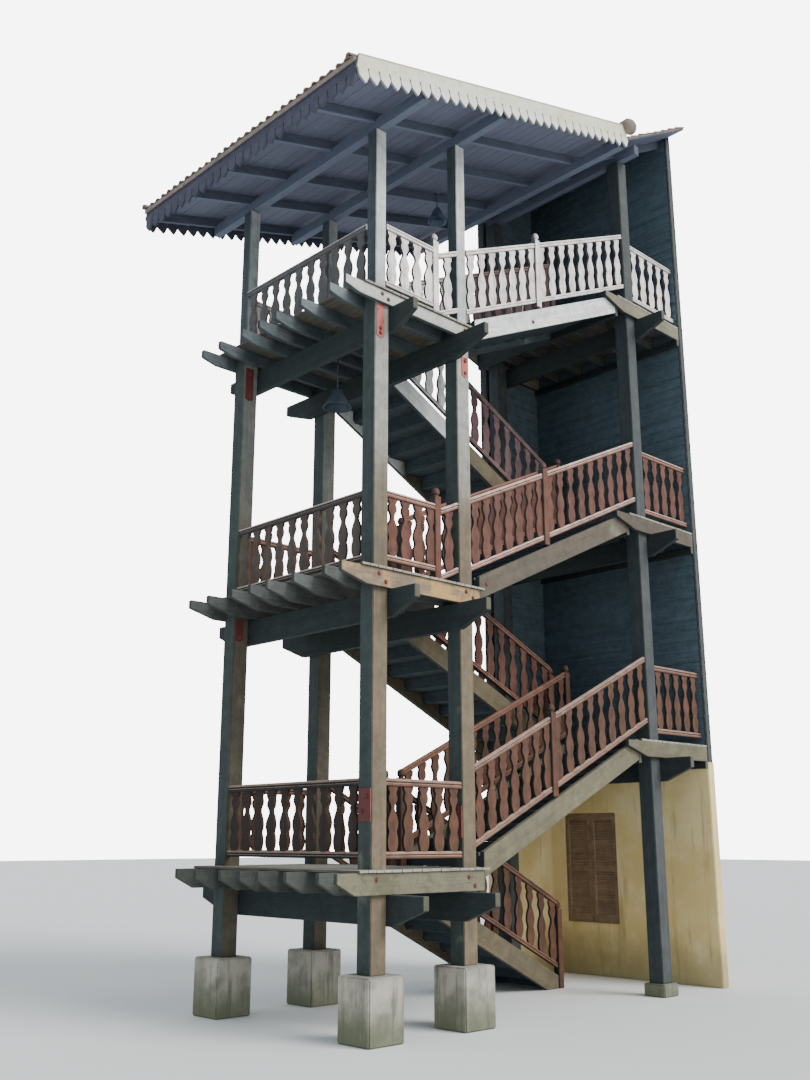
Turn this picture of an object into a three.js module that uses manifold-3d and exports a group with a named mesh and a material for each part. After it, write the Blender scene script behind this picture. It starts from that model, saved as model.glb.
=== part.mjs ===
// Timber stair tower of a gallery house, with the gallery bay that it serves.
// Four posts on concrete footings carry three open half landings under a lean-to tiled roof.
// From each landing a near flight climbs to the gallery, and a far flight drops to the floor below.
// Millimetres. +X runs from the landings along the flights to the house wall, +Y from the near
// side to the far side, +Z up. Pieces are placed from the near post's outer corner, on the ground.

import * as THREE from 'three';
import { mergeVertices } from 'three/addons/utils/BufferGeometryUtils.js';
import Module from 'manifold-3d';

const wasm = await Module();
wasm.setup();

// Clearance left where two pieces touch
const GAP = 0.3;

// Levels: the tops of the joists
const LANDING_LEVELS = [1525, 4496, 7623];
const GALLERY_LEVELS = [3025, 5975, 9133];
const BOARD_THICKNESS = 25;

// Posts and footings
const POST = 200;
const UPPER_POST = 150;
const TOWER_LENGTH = 1478;
const TOWER_WIDTH = 2594;
const GALLERY_POST_X = 4755;
const FOOTING = 450;
const FOOTING_HEIGHT = 600;
const PAD = 300;
const PAD_HEIGHT = 150;

// Floor frames
const JOIST_THICKNESS = 56;
const JOIST_DEPTH = 190;
const JOIST_TIP_DEPTH = 75;
const JOIST_OVERHANG = 470;
const JOIST_COUNT = 7;
const LANDING_JOIST_DEPTHS = [205, 185, 145];
const LANDING_JOIST_BEVELS = [220, 340, 200];
const LANDING_JOIST_TIP = 95;
const LANDING_JOIST_END = 1540;
const LANDING_JOIST_PLACES = [205, 695, 1145, 1450, 1785, 2240];
const LANDING_BEAM_OVERHANGS = [[505, 500], [400, 455], [385, 505]];
const BEAM_THICKNESS = 75;
const BEAM_DEPTH = 290;
const BEAM_TIP_DEPTH = 130;
const BEAM_OVERHANG = 450;
const DECK_OVERHANG = 220;
const BOARD_OVERHANG = 25;

// Flights
const FLIGHT_LOW_X = 1600;
const FLIGHT_HIGH_X = 4500;
const LANDING_END = FLIGHT_LOW_X - GAP;
const RISERS = 10;
const GOING = (FLIGHT_HIGH_X - FLIGHT_LOW_X) / (RISERS - 1);
const FLIGHT_WIDTH = 1200;
const STRINGER_THICKNESS = 60;
const STRINGER_ABOVE_NOSING = 5;
const STRINGER_BELOW_NOSING = 260;
const TREAD_THICKNESS = 40;
const TREAD_NOSING = 25;
const RISER_THICKNESS = 18;

// Balustrades
const RAIL_INSET = 40;
const RAIL_WIDTH = 65;
const RAIL_HEIGHT = 75;
const BOTTOM_RAIL_HEIGHT = 60;
const BALUSTER_THICKNESS = 30;
const BALUSTER_PITCH = 215;
const LOWER_PANEL_PITCH = 190;
const BALUSTER_NECK = 50;
const BALUSTER_BELLY = 140;
const BALUSTER_FOOT = 100;
const BALUSTER_HEAD = 96;
const LANDING_RAIL_TOP = 865;
const FLIGHT_RAIL_TOP = 950;
const GALLERY_RAIL_TOP = 980;
const BOTTOM_RAIL_TOP = 165;
const NEWEL = 100;
const NEWEL_HEIGHT = 960;
const KNOB_HEIGHT = 95;
const FRONT_NEWEL_X = 960;
const FLIGHT_NEWEL_X = 2830;
const WELL_NEWEL_X = 1500;
const GALLERY_NEWEL_X = 4560;

// House wall and party wall behind the gallery
const WALL_X = 6000;
const PLASTER_WALL = 150;
const TIMBER_WALL = 120;
const PARTY_WALL_Y = 2650.6;
const SHUTTER_WIDTH = 900;
const SHUTTER_HEIGHT = 1500;
const SHUTTER_SILL = 700;
const SHUTTER_Y = 1500;
const SHUTTER_THICKNESS = 40;

// Roofs
const EAVE_X = -940;
const VERGE_OVERHANG = 736;
const ROOF_TOP_AT_EAVE = 9695;
const LEAN_SLOPE = 0.313;
const MAIN_SLOPE = 0.6;
const ROOF_TURN_X = 3910;
const MAIN_ROOF_OVERHANG = 300;
const TILE_OVERHANG = 45;
const SLAB_DEPTH = 90;
const RAFTER_DEPTH = 120;
const RAFTER_WIDTH = 55;
const PLATE_WIDTH = 100;
const PLATE_DEPTH = 150;
const PLATE_HOUSING = 20;
const FRINGE_THICKNESS = 25;
const VERGE_FRINGE_HEIGHT = 335;
const EAVE_FRINGE_HEIGHT = 270;
const TOOTH_HEIGHT = 120;
const TOOTH_PITCH = 150;
const CAP_RADIUS = 160;

// Finishes
const darkTimber = { color: 0x3d3834, roughness: 0.75, metalness: 0 };
const greyTimber = { color: 0x8b8479, roughness: 0.8, metalness: 0 };
const redTimber = { color: 0x6f4438, roughness: 0.65, metalness: 0 };
const paleTimber = { color: 0xb5b49d, roughness: 0.85, metalness: 0 };
const louvreTimber = { color: 0x6a5140, roughness: 0.7, metalness: 0 };
const concrete = { color: 0xa9a49a, roughness: 0.95, metalness: 0 };
const plaster = { color: 0xd9bf7a, roughness: 0.9, metalness: 0 };
const clayTile = { color: 0x7d6a5c, roughness: 0.9, metalness: 0 };

// Solids

// A closed geometry as a solid, without the empty triangles that a turned shape has at its poles
function toSolid(geometry) {
  const bare = new THREE.BufferGeometry();
  bare.setAttribute('position', geometry.getAttribute('position'));
  bare.setIndex(geometry.index);
  const welded = mergeVertices(bare, 1e-3);
  const corners = welded.index.array;
  const triangles = [];
  for (let i = 0; i < corners.length; i += 3) {
    const [a, b, c] = corners.slice(i, i + 3);
    if (a !== b && b !== c && c !== a) {
      triangles.push(a, b, c);
    }
  }
  const mesh = new wasm.Mesh({
    numProp: 3,
    vertProperties: Float32Array.from(welded.getAttribute('position').array),
    triVerts: Uint32Array.from(triangles),
  });
  return new wasm.Manifold(mesh);
}

function toGeometry(body) {
  const mesh = body.getMesh();
  const geometry = new THREE.BufferGeometry();
  geometry.setAttribute('position', new THREE.BufferAttribute(mesh.vertProperties, 3));
  geometry.setIndex(new THREE.BufferAttribute(mesh.triVerts, 1));
  geometry.computeVertexNormals();
  return geometry;
}

// Several geometries joined into one body
function join(geometries) {
  const bodies = geometries.map(toSolid);
  return toGeometry(bodies.reduce((whole, body) => whole.add(body)));
}

// One geometry with others cut out of it
function cut(geometry, cutters) {
  const bodies = cutters.map(toSolid);
  return toGeometry(bodies.reduce((whole, body) => whole.subtract(body), toSolid(geometry)));
}

function box(x0, x1, y0, y1, z0, z1) {
  const geometry = new THREE.BoxGeometry(x1 - x0, y1 - y0, z1 - z0);
  return geometry.translate((x0 + x1) / 2, (y0 + y1) / 2, (z0 + z1) / 2);
}

function outline(points) {
  return new THREE.Shape(points.map(([u, v]) => new THREE.Vector2(u, v)));
}

// An outline in (x, z), extruded from y0 to y1
function alongY(shape, y0, y1) {
  const geometry = new THREE.ExtrudeGeometry(shape, { depth: y1 - y0, bevelEnabled: false });
  const place = new THREE.Matrix4().makeBasis(
    new THREE.Vector3(1, 0, 0), new THREE.Vector3(0, 0, 1), new THREE.Vector3(0, -1, 0));
  place.setPosition(0, y1, 0);
  return withIndex(geometry.applyMatrix4(place));
}

// An outline in (y, z), extruded from x0 to x1
function alongX(shape, x0, x1) {
  const geometry = new THREE.ExtrudeGeometry(shape, { depth: x1 - x0, bevelEnabled: false });
  const place = new THREE.Matrix4().makeBasis(
    new THREE.Vector3(0, 1, 0), new THREE.Vector3(0, 0, 1), new THREE.Vector3(1, 0, 0));
  place.setPosition(x0, 0, 0);
  return withIndex(geometry.applyMatrix4(place));
}

function withIndex(geometry) {
  const bare = new THREE.BufferGeometry();
  bare.setAttribute('position', geometry.getAttribute('position'));
  return mergeVertices(bare, 1e-3);
}

function piece(name, geometry, finish, x = 0, y = 0, z = 0) {
  const mesh = new THREE.Mesh(geometry, new THREE.MeshStandardMaterial({ ...finish, flatShading: true }));
  mesh.name = name;
  mesh.position.set(x, y, z);
  return mesh;
}

function groupOf(pieces, z = 0) {
  const group = new THREE.Group();
  group.add(...pieces);
  group.position.z = z;
  return group;
}

// Roof surfaces: the top of the lean-to slab, which turns up into the house's own steeper roof

const ROOF_TOP_AT_TURN = ROOF_TOP_AT_EAVE + (ROOF_TURN_X - EAVE_X) * LEAN_SLOPE;

function roofTop(x) {
  if (x < ROOF_TURN_X) {
    return ROOF_TOP_AT_EAVE + (x - EAVE_X) * LEAN_SLOPE;
  }
  return ROOF_TOP_AT_TURN + (x - ROOF_TURN_X) * MAIN_SLOPE;
}

function plateUnderside(x) {
  return roofTop(x) - SLAB_DEPTH - GAP - RAFTER_DEPTH + PLATE_HOUSING - PLATE_DEPTH;
}

// Footings, posts and pads

const towerCorners = {
  near: { x: 0, y: 0 },
  left: { x: 0, y: TOWER_WIDTH - POST },
  right: { x: TOWER_LENGTH - POST, y: 0 },
  far: { x: TOWER_LENGTH - POST, y: TOWER_WIDTH - POST },
};

function footing(name, corner, width, height) {
  const side = (width - POST) / 2;
  const shape = box(0, width, 0, width, 0, height);
  return piece(name, shape, concrete, corner.x - side, corner.y - side, 0);
}

// The upper posts are thinner, centred across, and flush with the flight side of the right posts
function upperPostX(corner) {
  return corner.x === 0 ? (POST - UPPER_POST) / 2 : corner.x + POST - UPPER_POST;
}

function towerPosts(place, corner) {
  const foot = FOOTING_HEIGHT + GAP;
  const splice = LANDING_LEVELS[2] - 20;
  const lower = box(0, POST, 0, POST, foot, splice);
  const x = upperPostX(corner);
  const top = plateUnderside(x + UPPER_POST / 2) - GAP;
  const upper = box(0, UPPER_POST, 0, UPPER_POST, splice + GAP, top);
  const inset = (POST - UPPER_POST) / 2;
  return [
    footing(`footing_${place}`, corner, FOOTING, FOOTING_HEIGHT),
    piece(`lower_post_${place}`, lower, greyTimber, corner.x, corner.y),
    piece(`upper_post_${place}`, upper, greyTimber, x, corner.y + inset),
  ];
}

function galleryPost(place, y) {
  const top = plateUnderside(GALLERY_POST_X + POST / 2) - GAP;
  const post = box(0, POST, 0, POST, PAD_HEIGHT + GAP, top);
  return [
    footing(`gallery_pad_${place}`, { x: GALLERY_POST_X, y }, PAD, PAD_HEIGHT),
    piece(`gallery_post_${place}`, post, darkTimber, GALLERY_POST_X, y),
  ];
}

// Floor frames. Heights are from the tops of the joists.

// A joist along X, its low end cut away below, back to bevel from its tip
function joist(x0, x1, y, depth, tip, bevel) {
  const shape = outline([
    [x0, 0],
    [x0, bevel > 0 ? -tip : -depth],
    [x0 + bevel + 1, -depth],
    [x1, -depth],
    [x1, 0],
  ]);
  return alongY(shape, y, y + JOIST_THICKNESS);
}

// A beam along Y under joists of that depth, its overhanging ends cut away below
function crossBeam(x, y0, y1, depth, bevelLow, bevelHigh) {
  const top = -depth + 1;
  const bottom = -depth - BEAM_DEPTH;
  const tip = -depth - BEAM_TIP_DEPTH;
  const shape = outline([
    [y0, top],
    [y0, bevelLow > 0 ? tip : bottom],
    [y0 + bevelLow + 1, bottom],
    [y1 - bevelHigh - 1, bottom],
    [y1, bevelHigh > 0 ? tip : bottom],
    [y1, top],
  ]);
  return alongX(shape, x, x + BEAM_THICKNESS);
}

// The outer joists are bolted to the posts' outer faces
const FIRST_JOIST = -JOIST_THICKNESS - GAP;
const LAST_JOIST = TOWER_WIDTH + GAP;
const DECK_NEAR = FIRST_JOIST;
const DECK_FAR = LAST_JOIST + JOIST_THICKNESS;

// The gallery's inner joists stand evenly between the outer ones
function galleryJoistPlaces() {
  const step = (LAST_JOIST - FIRST_JOIST) / (JOIST_COUNT - 1);
  return Array.from({ length: JOIST_COUNT }, (_, i) => FIRST_JOIST + i * step);
}

function postHole(x, y, side) {
  return box(x - GAP, x + side + GAP, y - GAP, y + side + GAP, -1, BOARD_THICKNESS + 1);
}

function landing(storey) {
  const top = storey === 2;
  const side = top ? UPPER_POST : POST;
  const holes = Object.values(towerCorners).map((corner) => {
    const x = top ? upperPostX(corner) : corner.x;
    const y = top ? corner.y + (POST - UPPER_POST) / 2 : corner.y;
    return postHole(x, y, side);
  });
  const near = DECK_NEAR - BOARD_OVERHANG;
  const far = DECK_FAR + BOARD_OVERHANG;
  const boards = cut(box(-DECK_OVERHANG, LANDING_END, near, far, -0.5, BOARD_THICKNESS), holes);
  const depth = LANDING_JOIST_DEPTHS[storey];
  const bevel = LANDING_JOIST_BEVELS[storey];
  const joists = [FIRST_JOIST, ...LANDING_JOIST_PLACES, LAST_JOIST].map((y) => (
    joist(-JOIST_OVERHANG, LANDING_JOIST_END, y, depth, LANDING_JOIST_TIP, bevel)));
  const beamPlaces = [POST + GAP, TOWER_LENGTH - POST - GAP - BEAM_THICKNESS];
  const beams = beamPlaces.map((x, i) => {
    const reach = LANDING_BEAM_OVERHANGS[storey][i];
    return crossBeam(x, -reach, TOWER_WIDTH + reach, depth, reach - 60, reach - 60);
  });
  return piece(`landing_${storey + 1}`, join([boards, ...joists, ...beams]), darkTimber);
}

function gallery(storey) {
  const start = FLIGHT_HIGH_X + GAP;
  const end = WALL_X - GAP;
  const tip = GALLERY_POST_X - JOIST_OVERHANG - 65;
  const holes = [
    postHole(GALLERY_POST_X, 0, POST),
    postHole(GALLERY_POST_X, TOWER_WIDTH - POST, POST),
  ];
  const boards = cut(box(start, end, DECK_NEAR, DECK_FAR, -0.5, BOARD_THICKNESS), holes);
  const joists = galleryJoistPlaces().map((y, i) => {
    const outer = i === 0 || i === JOIST_COUNT - 1;
    return joist(outer ? tip : start + 30, end, y, JOIST_DEPTH, JOIST_TIP_DEPTH, outer ? 400 : 0);
  });
  const trimmer = box(start, start + JOIST_THICKNESS, GAP, TOWER_WIDTH - GAP, -JOIST_DEPTH - 80, 0.5);
  const reach = box(start, start + JOIST_THICKNESS, DECK_NEAR + 1, DECK_FAR - 1, -JOIST_DEPTH + 20, 0.5);
  const beamX = GALLERY_POST_X + POST + GAP;
  const carrier = crossBeam(beamX, -BEAM_OVERHANG, DECK_FAR, JOIST_DEPTH, BEAM_OVERHANG - 60, 0);
  const ledger = box(end - JOIST_THICKNESS, end, DECK_NEAR, DECK_FAR, -JOIST_DEPTH - 90, -JOIST_DEPTH + 1);
  const solids = [boards, ...joists, trimmer, reach, carrier, ledger];
  return piece(`gallery_${storey + 1}`, join(solids), darkTimber);
}

// Flights. Local X runs up the flight from its first riser, Z from the lower floor, Y across.

function flight(name, height, onGround) {
  const rise = height / RISERS;
  const slope = rise / GOING;
  const run = GOING * (RISERS - 1);
  const nosing = (x) => rise + slope * x;
  const foot = nosing(0) - STRINGER_BELOW_NOSING;
  const groundMeets = (STRINGER_BELOW_NOSING - rise) / slope;
  const lowEnd = onGround ? [[0, 0], [groundMeets, 0]] : [[0, foot]];
  const stringer = outline([
    [0, nosing(0) + STRINGER_ABOVE_NOSING],
    ...lowEnd,
    [run - GAP, nosing(run) - STRINGER_BELOW_NOSING],
    [run - GAP, nosing(run) + STRINGER_ABOVE_NOSING - 6],
    [run - 30, nosing(run - 30) + STRINGER_ABOVE_NOSING],
  ]);
  const solids = [
    alongY(stringer, GAP, STRINGER_THICKNESS),
    alongY(stringer, FLIGHT_WIDTH - STRINGER_THICKNESS, FLIGHT_WIDTH - GAP),
  ];
  const near = STRINGER_THICKNESS - 1;
  const far = FLIGHT_WIDTH - STRINGER_THICKNESS + 1;
  for (let i = 1; i < RISERS; i += 1) {
    const x = (i - 1) * GOING;
    const z = i * rise;
    const back = i === RISERS - 1 ? x + GOING - GAP : x + GOING + 1;
    const front = i === 1 ? x : x - TREAD_NOSING;
    const riserFoot = i === 1 ? z - rise + 1 : z - rise - 1;
    solids.push(box(front, back, near, far, z - TREAD_THICKNESS, z));
    solids.push(box(x, x + RISER_THICKNESS, near, far, riserFoot, z - TREAD_THICKNESS + 1));
  }
  return piece(name, join(solids), darkTimber);
}

const floorOf = (level) => level + BOARD_THICKNESS;
const floorBelow = (storey) => (storey === 0 ? 0 : floorOf(GALLERY_LEVELS[storey - 1]));

function nearFlight(storey) {
  const low = floorOf(LANDING_LEVELS[storey]);
  const mesh = flight(`near_flight_${storey + 1}`, floorOf(GALLERY_LEVELS[storey]) - low, false);
  mesh.position.set(FLIGHT_LOW_X, 0, low);
  return mesh;
}

function farFlight(storey) {
  const low = floorBelow(storey);
  const mesh = flight(`far_flight_${storey + 1}`, floorOf(LANDING_LEVELS[storey]) - low, storey === 0);
  mesh.rotation.z = Math.PI;
  mesh.position.set(FLIGHT_HIGH_X, TOWER_WIDTH, low);
  return mesh;
}

// Balustrades. Local X runs along the rail, Z from the floor or nosing line at its start.

// A panel of flat sawn balusters between two rails, from x0 to x1, centred on y. The openings are
// cut between the balusters, with half openings at the ends.
function balustrade(x0, x1, y, z0, slope, top, bottom = BOTTOM_RAIL_TOP, spacing = BALUSTER_PITCH) {
  const height = (x, h) => z0 + slope * (x - x0) + h;
  const strip = (low, high) => outline([
    [x0, height(x0, low)], [x1, height(x1, low)], [x1, height(x1, high)], [x0, height(x0, high)],
  ]);
  const holeLow = bottom - 5;
  const holeHigh = top - RAIL_HEIGHT + 5;
  const belly = holeLow + (holeHigh - holeLow) * 0.33;
  const throat = holeLow + (holeHigh - holeLow) * 0.67;
  const panel = strip(bottom - BOTTOM_RAIL_HEIGHT / 2, top - RAIL_HEIGHT / 2);
  const count = Math.round((x1 - x0) / spacing);
  const pitch = (x1 - x0) / count;
  const neck = BALUSTER_NECK / 2;
  const wide = BALUSTER_BELLY / 2;
  const foot = BALUSTER_FOOT / 2;
  const head = BALUSTER_HEAD / 2;
  const side = [[head, holeHigh], [neck, throat], [wide, belly], [foot, holeLow]];
  const leftSide = (x) => side.map(([half, h]) => [x + half, h]);
  const rightSide = (x) => side.map(([half, h]) => [x - half, h]).reverse();
  const holes = Array.from({ length: count + 1 }, (_, i) => {
    const left = i === 0 ? [[x0 - 1, holeHigh], [x0 - 1, holeLow]] : leftSide(x0 + (i - 0.5) * pitch);
    const right = i === count ? [[x1 + 1, holeLow], [x1 + 1, holeHigh]] : rightSide(x0 + (i + 0.5) * pitch);
    const shape = outline([...left, ...right].map(([x, h]) => [x, height(x, h)]));
    return alongY(shape, y - BALUSTER_THICKNESS, y + BALUSTER_THICKNESS);
  });
  const rail = (shape, width) => alongY(shape, y - width / 2, y + width / 2);
  return [
    cut(rail(panel, BALUSTER_THICKNESS), holes),
    rail(strip(top - RAIL_HEIGHT, top), RAIL_WIDTH),
    rail(strip(bottom - BOTTOM_RAIL_HEIGHT, bottom), RAIL_WIDTH - 10),
  ];
}

// A square newel with a turned knob, standing on a floor
function newel(x, y, z) {
  const half = NEWEL / 2;
  const profile = [[0, 0], [32, 0], [46, 48], [0, KNOB_HEIGHT]];
  const points = profile.map(([r, h]) => new THREE.Vector2(r, h));
  const knob = new THREE.LatheGeometry(points, 6);
  knob.rotateX(Math.PI / 2);
  knob.translate(x, y, z + NEWEL_HEIGHT - 1);
  return [box(x - half, x + half, y - half, y + half, z, z + NEWEL_HEIGHT), knob];
}

function slopeOf(low, high) {
  return (high - low) / RISERS / GOING;
}

// The flight's nosing line, carried on past its first nosing
function nosingLine(lowFloor, slope, distance) {
  return lowFloor + slope * (GOING + distance);
}

// Along the landing's near edge. The lowest landing has one level panel. On the others the level
// panel ends at a newel, and the first of the near flight's rail follows it.
function frontRail(storey) {
  const inset = storey === 2 ? (POST + UPPER_POST) / 2 : POST;
  const end = storey === 2 ? upperPostX(towerCorners.right) : towerCorners.right.x;
  const floor = floorOf(LANDING_LEVELS[storey]);
  if (storey === 0) {
    const level = balustrade(inset + GAP, end - GAP, RAIL_INSET, 0, 0, LANDING_RAIL_TOP);
    return piece('front_rail_1', join(level), redTimber, 0, 0, floor);
  }
  const slope = slopeOf(floor, floorOf(GALLERY_LEVELS[storey]));
  const newelFace = FRONT_NEWEL_X + NEWEL / 2;
  const start = nosingLine(0, slope, newelFace - 1 - FLIGHT_LOW_X);
  const solids = [
    ...balustrade(inset + GAP, FRONT_NEWEL_X, RAIL_INSET, 0, 0, LANDING_RAIL_TOP),
    ...newel(FRONT_NEWEL_X, RAIL_INSET + 12, GAP),
    ...balustrade(newelFace - 1, end - GAP, RAIL_INSET, start, slope, FLIGHT_RAIL_TOP, BOTTOM_RAIL_TOP + 40),
  ];
  return piece(`front_rail_${storey + 1}`, join(solids), redTimber, 0, 0, floor);
}

function sideRail(storey) {
  const inset = storey === 2 ? (POST + UPPER_POST) / 2 : POST;
  const solids = balustrade(inset + GAP, TOWER_WIDTH - inset - GAP, 0, 0, 0, LANDING_RAIL_TOP);
  const mesh = piece(`side_rail_${storey + 1}`, join(solids), redTimber);
  mesh.rotation.z = Math.PI / 2;
  mesh.position.set(RAIL_INSET, 0, floorOf(LANDING_LEVELS[storey]));
  return mesh;
}

function backRail(storey) {
  const inset = storey === 2 ? (POST + UPPER_POST) / 2 : POST;
  const end = storey === 2 ? upperPostX(towerCorners.far) : towerCorners.far.x;
  const solids = balustrade(inset + GAP, end - GAP, 0, 0, 0, LANDING_RAIL_TOP);
  const floor = floorOf(LANDING_LEVELS[storey]);
  return piece(`back_rail_${storey + 1}`, join(solids), redTimber, 0, TOWER_WIDTH - RAIL_INSET, floor);
}

// Outside rail of the near flight, from the right post up to the gallery post
function nearFlightRail(storey) {
  const floor = floorOf(LANDING_LEVELS[storey]);
  const slope = slopeOf(floor, floorOf(GALLERY_LEVELS[storey]));
  const start = TOWER_LENGTH + GAP;
  const base = nosingLine(floor, slope, start - FLIGHT_LOW_X);
  const seat = nosingLine(floor, slope, FLIGHT_NEWEL_X + NEWEL / 2 - FLIGHT_LOW_X);
  const middle = base + slope * (FLIGHT_NEWEL_X - start);
  const solids = [
    ...balustrade(start, FLIGHT_NEWEL_X + 1, RAIL_INSET, base, slope, FLIGHT_RAIL_TOP,
      BOTTOM_RAIL_TOP, LOWER_PANEL_PITCH),
    ...balustrade(FLIGHT_NEWEL_X, GALLERY_POST_X - GAP, RAIL_INSET, middle, slope, FLIGHT_RAIL_TOP),
    ...newel(FLIGHT_NEWEL_X, RAIL_INSET, seat + STRINGER_ABOVE_NOSING + GAP),
  ];
  return piece(`near_flight_rail_${storey + 1}`, join(solids), redTimber);
}

// Outside rail of the far flight, from the far post down to the gallery post, or to a newel
function farFlightRail(storey) {
  const low = floorBelow(storey);
  const slope = slopeOf(low, floorOf(LANDING_LEVELS[storey]));
  const start = TOWER_LENGTH + GAP;
  const y = TOWER_WIDTH - RAIL_INSET;
  const onGround = storey === 0;
  const end = onGround ? GALLERY_NEWEL_X : GALLERY_POST_X - GAP;
  const base = nosingLine(low, slope, FLIGHT_HIGH_X - start);
  const solids = [
    ...balustrade(start, end, y, base, -slope, FLIGHT_RAIL_TOP),
    ...(onGround ? newel(end, y, 0) : []),
  ];
  return piece(`far_flight_rail_${storey + 1}`, join(solids), redTimber);
}

// The rails on both sides of the stair well: up the near flight, across its head, down the far one
function wellRail(storey) {
  const floor = floorOf(LANDING_LEVELS[storey]);
  const high = floorOf(GALLERY_LEVELS[storey]);
  const low = floorBelow(storey);
  const upSlope = slopeOf(floor, high);
  const downSlope = slopeOf(low, floor);
  const nearY = FLIGHT_WIDTH - RAIL_INSET;
  const farY = TOWER_WIDTH - FLIGHT_WIDTH + RAIL_INSET;
  const upBase = nosingLine(floor, upSlope, WELL_NEWEL_X - FLIGHT_LOW_X);
  const downBase = nosingLine(low, downSlope, FLIGHT_HIGH_X - WELL_NEWEL_X);
  const half = RAIL_WIDTH / 2;
  const across = (z0, z1) => box(WELL_NEWEL_X - half, WELL_NEWEL_X + half, nearY, farY, floor + z0, floor + z1);
  const solids = [
    ...balustrade(WELL_NEWEL_X, GALLERY_NEWEL_X, nearY, upBase, upSlope, FLIGHT_RAIL_TOP),
    ...balustrade(WELL_NEWEL_X, GALLERY_NEWEL_X, farY, downBase, -downSlope, FLIGHT_RAIL_TOP),
    across(LANDING_RAIL_TOP - RAIL_HEIGHT, LANDING_RAIL_TOP),
    across(BOTTOM_RAIL_TOP - BOTTOM_RAIL_HEIGHT, BOTTOM_RAIL_TOP),
    ...newel(WELL_NEWEL_X, nearY, floor + GAP),
    ...newel(WELL_NEWEL_X, farY, floor + GAP),
    ...newel(GALLERY_NEWEL_X, nearY, high + GAP),
    ...newel(GALLERY_NEWEL_X, farY, low + (storey === 0 ? 0 : GAP)),
  ];
  return piece(`well_rail_${storey + 1}`, join(solids), redTimber);
}

// Across the gallery's near end, from the gallery post to the house wall
function galleryEndRail(storey) {
  const start = GALLERY_POST_X + POST + GAP;
  const solids = balustrade(start, WALL_X - GAP, RAIL_INSET, 0, 0, GALLERY_RAIL_TOP);
  const floor = floorOf(GALLERY_LEVELS[storey]);
  return piece(`gallery_end_rail_${storey + 1}`, join(solids), redTimber, 0, 0, floor);
}

// Along the top gallery's open edge, beside the head of the last flight
function topGalleryRail() {
  const start = FLIGHT_WIDTH - RAIL_INSET + NEWEL / 2 + GAP;
  const end = TOWER_WIDTH - RAIL_INSET;
  const solids = balustrade(start, end, 0, 0, 0, GALLERY_RAIL_TOP);
  const mesh = piece('top_gallery_rail', join(solids), redTimber);
  mesh.rotation.z = Math.PI / 2;
  mesh.position.set(GALLERY_NEWEL_X, 0, floorOf(GALLERY_LEVELS[2]));
  return mesh;
}

// Walls

const WALL_SPLIT = GALLERY_LEVELS[0] - JOIST_DEPTH;
const slabUnderside = (x) => roofTop(x) - SLAB_DEPTH - GAP;

function groundWall() {
  const front = box(WALL_X, WALL_X + PLASTER_WALL, DECK_NEAR, PARTY_WALL_Y + PLASTER_WALL, 0, WALL_SPLIT);
  const party = box(GALLERY_POST_X, WALL_X + 1, PARTY_WALL_Y, PARTY_WALL_Y + PLASTER_WALL, 0, WALL_SPLIT);
  const window = box(WALL_X - 1, WALL_X + PLASTER_WALL + 1, SHUTTER_Y, SHUTTER_Y + SHUTTER_WIDTH,
    SHUTTER_SILL, SHUTTER_SILL + SHUTTER_HEIGHT);
  return piece('ground_wall', cut(join([front, party]), [window]), plaster);
}

function shutters() {
  const x = WALL_X + 20;
  const shape = box(x, x + SHUTTER_THICKNESS, SHUTTER_Y + GAP, SHUTTER_Y + SHUTTER_WIDTH - GAP,
    SHUTTER_SILL + GAP, SHUTTER_SILL + SHUTTER_HEIGHT - GAP);
  return piece('ground_shutters', shape, louvreTimber);
}

function upperWall() {
  const foot = WALL_SPLIT + GAP;
  const back = WALL_X + TIMBER_WALL;
  const front = outline([
    [WALL_X, foot], [back, foot], [back, slabUnderside(back)], [WALL_X, slabUnderside(WALL_X)],
  ]);
  const start = GALLERY_POST_X;
  const party = outline([
    [start, foot], [WALL_X + 1, foot], [WALL_X + 1, slabUnderside(WALL_X + 1)], [start, slabUnderside(start)],
  ]);
  const far = PARTY_WALL_Y + TIMBER_WALL;
  return piece('upper_wall', join([alongY(front, DECK_NEAR, far), alongY(party, PARTY_WALL_Y, far)]), greyTimber);
}

// Roofs

const VERGE_NEAR = -VERGE_OVERHANG;
const VERGE_FAR = TOWER_WIDTH + VERGE_OVERHANG;

function slab(x0, x1) {
  return outline([
    [x0, roofTop(x0) - SLAB_DEPTH], [x1, roofTop(x1) - SLAB_DEPTH], [x1, roofTop(x1)], [x0, roofTop(x0)],
  ]);
}

function towerRoof() {
  const shape = slab(EAVE_X - TILE_OVERHANG, ROOF_TURN_X - GAP);
  return piece('tower_roof', alongY(shape, VERGE_NEAR + GAP, VERGE_FAR - GAP), clayTile);
}

function mainRoof() {
  const shape = slab(ROOF_TURN_X + GAP, WALL_X + PLASTER_WALL);
  return piece('main_roof', alongY(shape, -MAIN_ROOF_OVERHANG, PARTY_WALL_Y + TIMBER_WALL), clayTile);
}

function rafter(x0, x1, y) {
  const shape = outline([
    [x0, slabUnderside(x0) - RAFTER_DEPTH], [x1, slabUnderside(x1) - RAFTER_DEPTH],
    [x1, slabUnderside(x1)], [x0, slabUnderside(x0)],
  ]);
  return alongY(shape, y - RAFTER_WIDTH / 2, y + RAFTER_WIDTH / 2);
}

function plate(x, y0, y1) {
  const low = plateUnderside(x);
  return box(x - PLATE_WIDTH / 2, x + PLATE_WIDTH / 2, y0, y1, low, low + PLATE_DEPTH);
}

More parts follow.
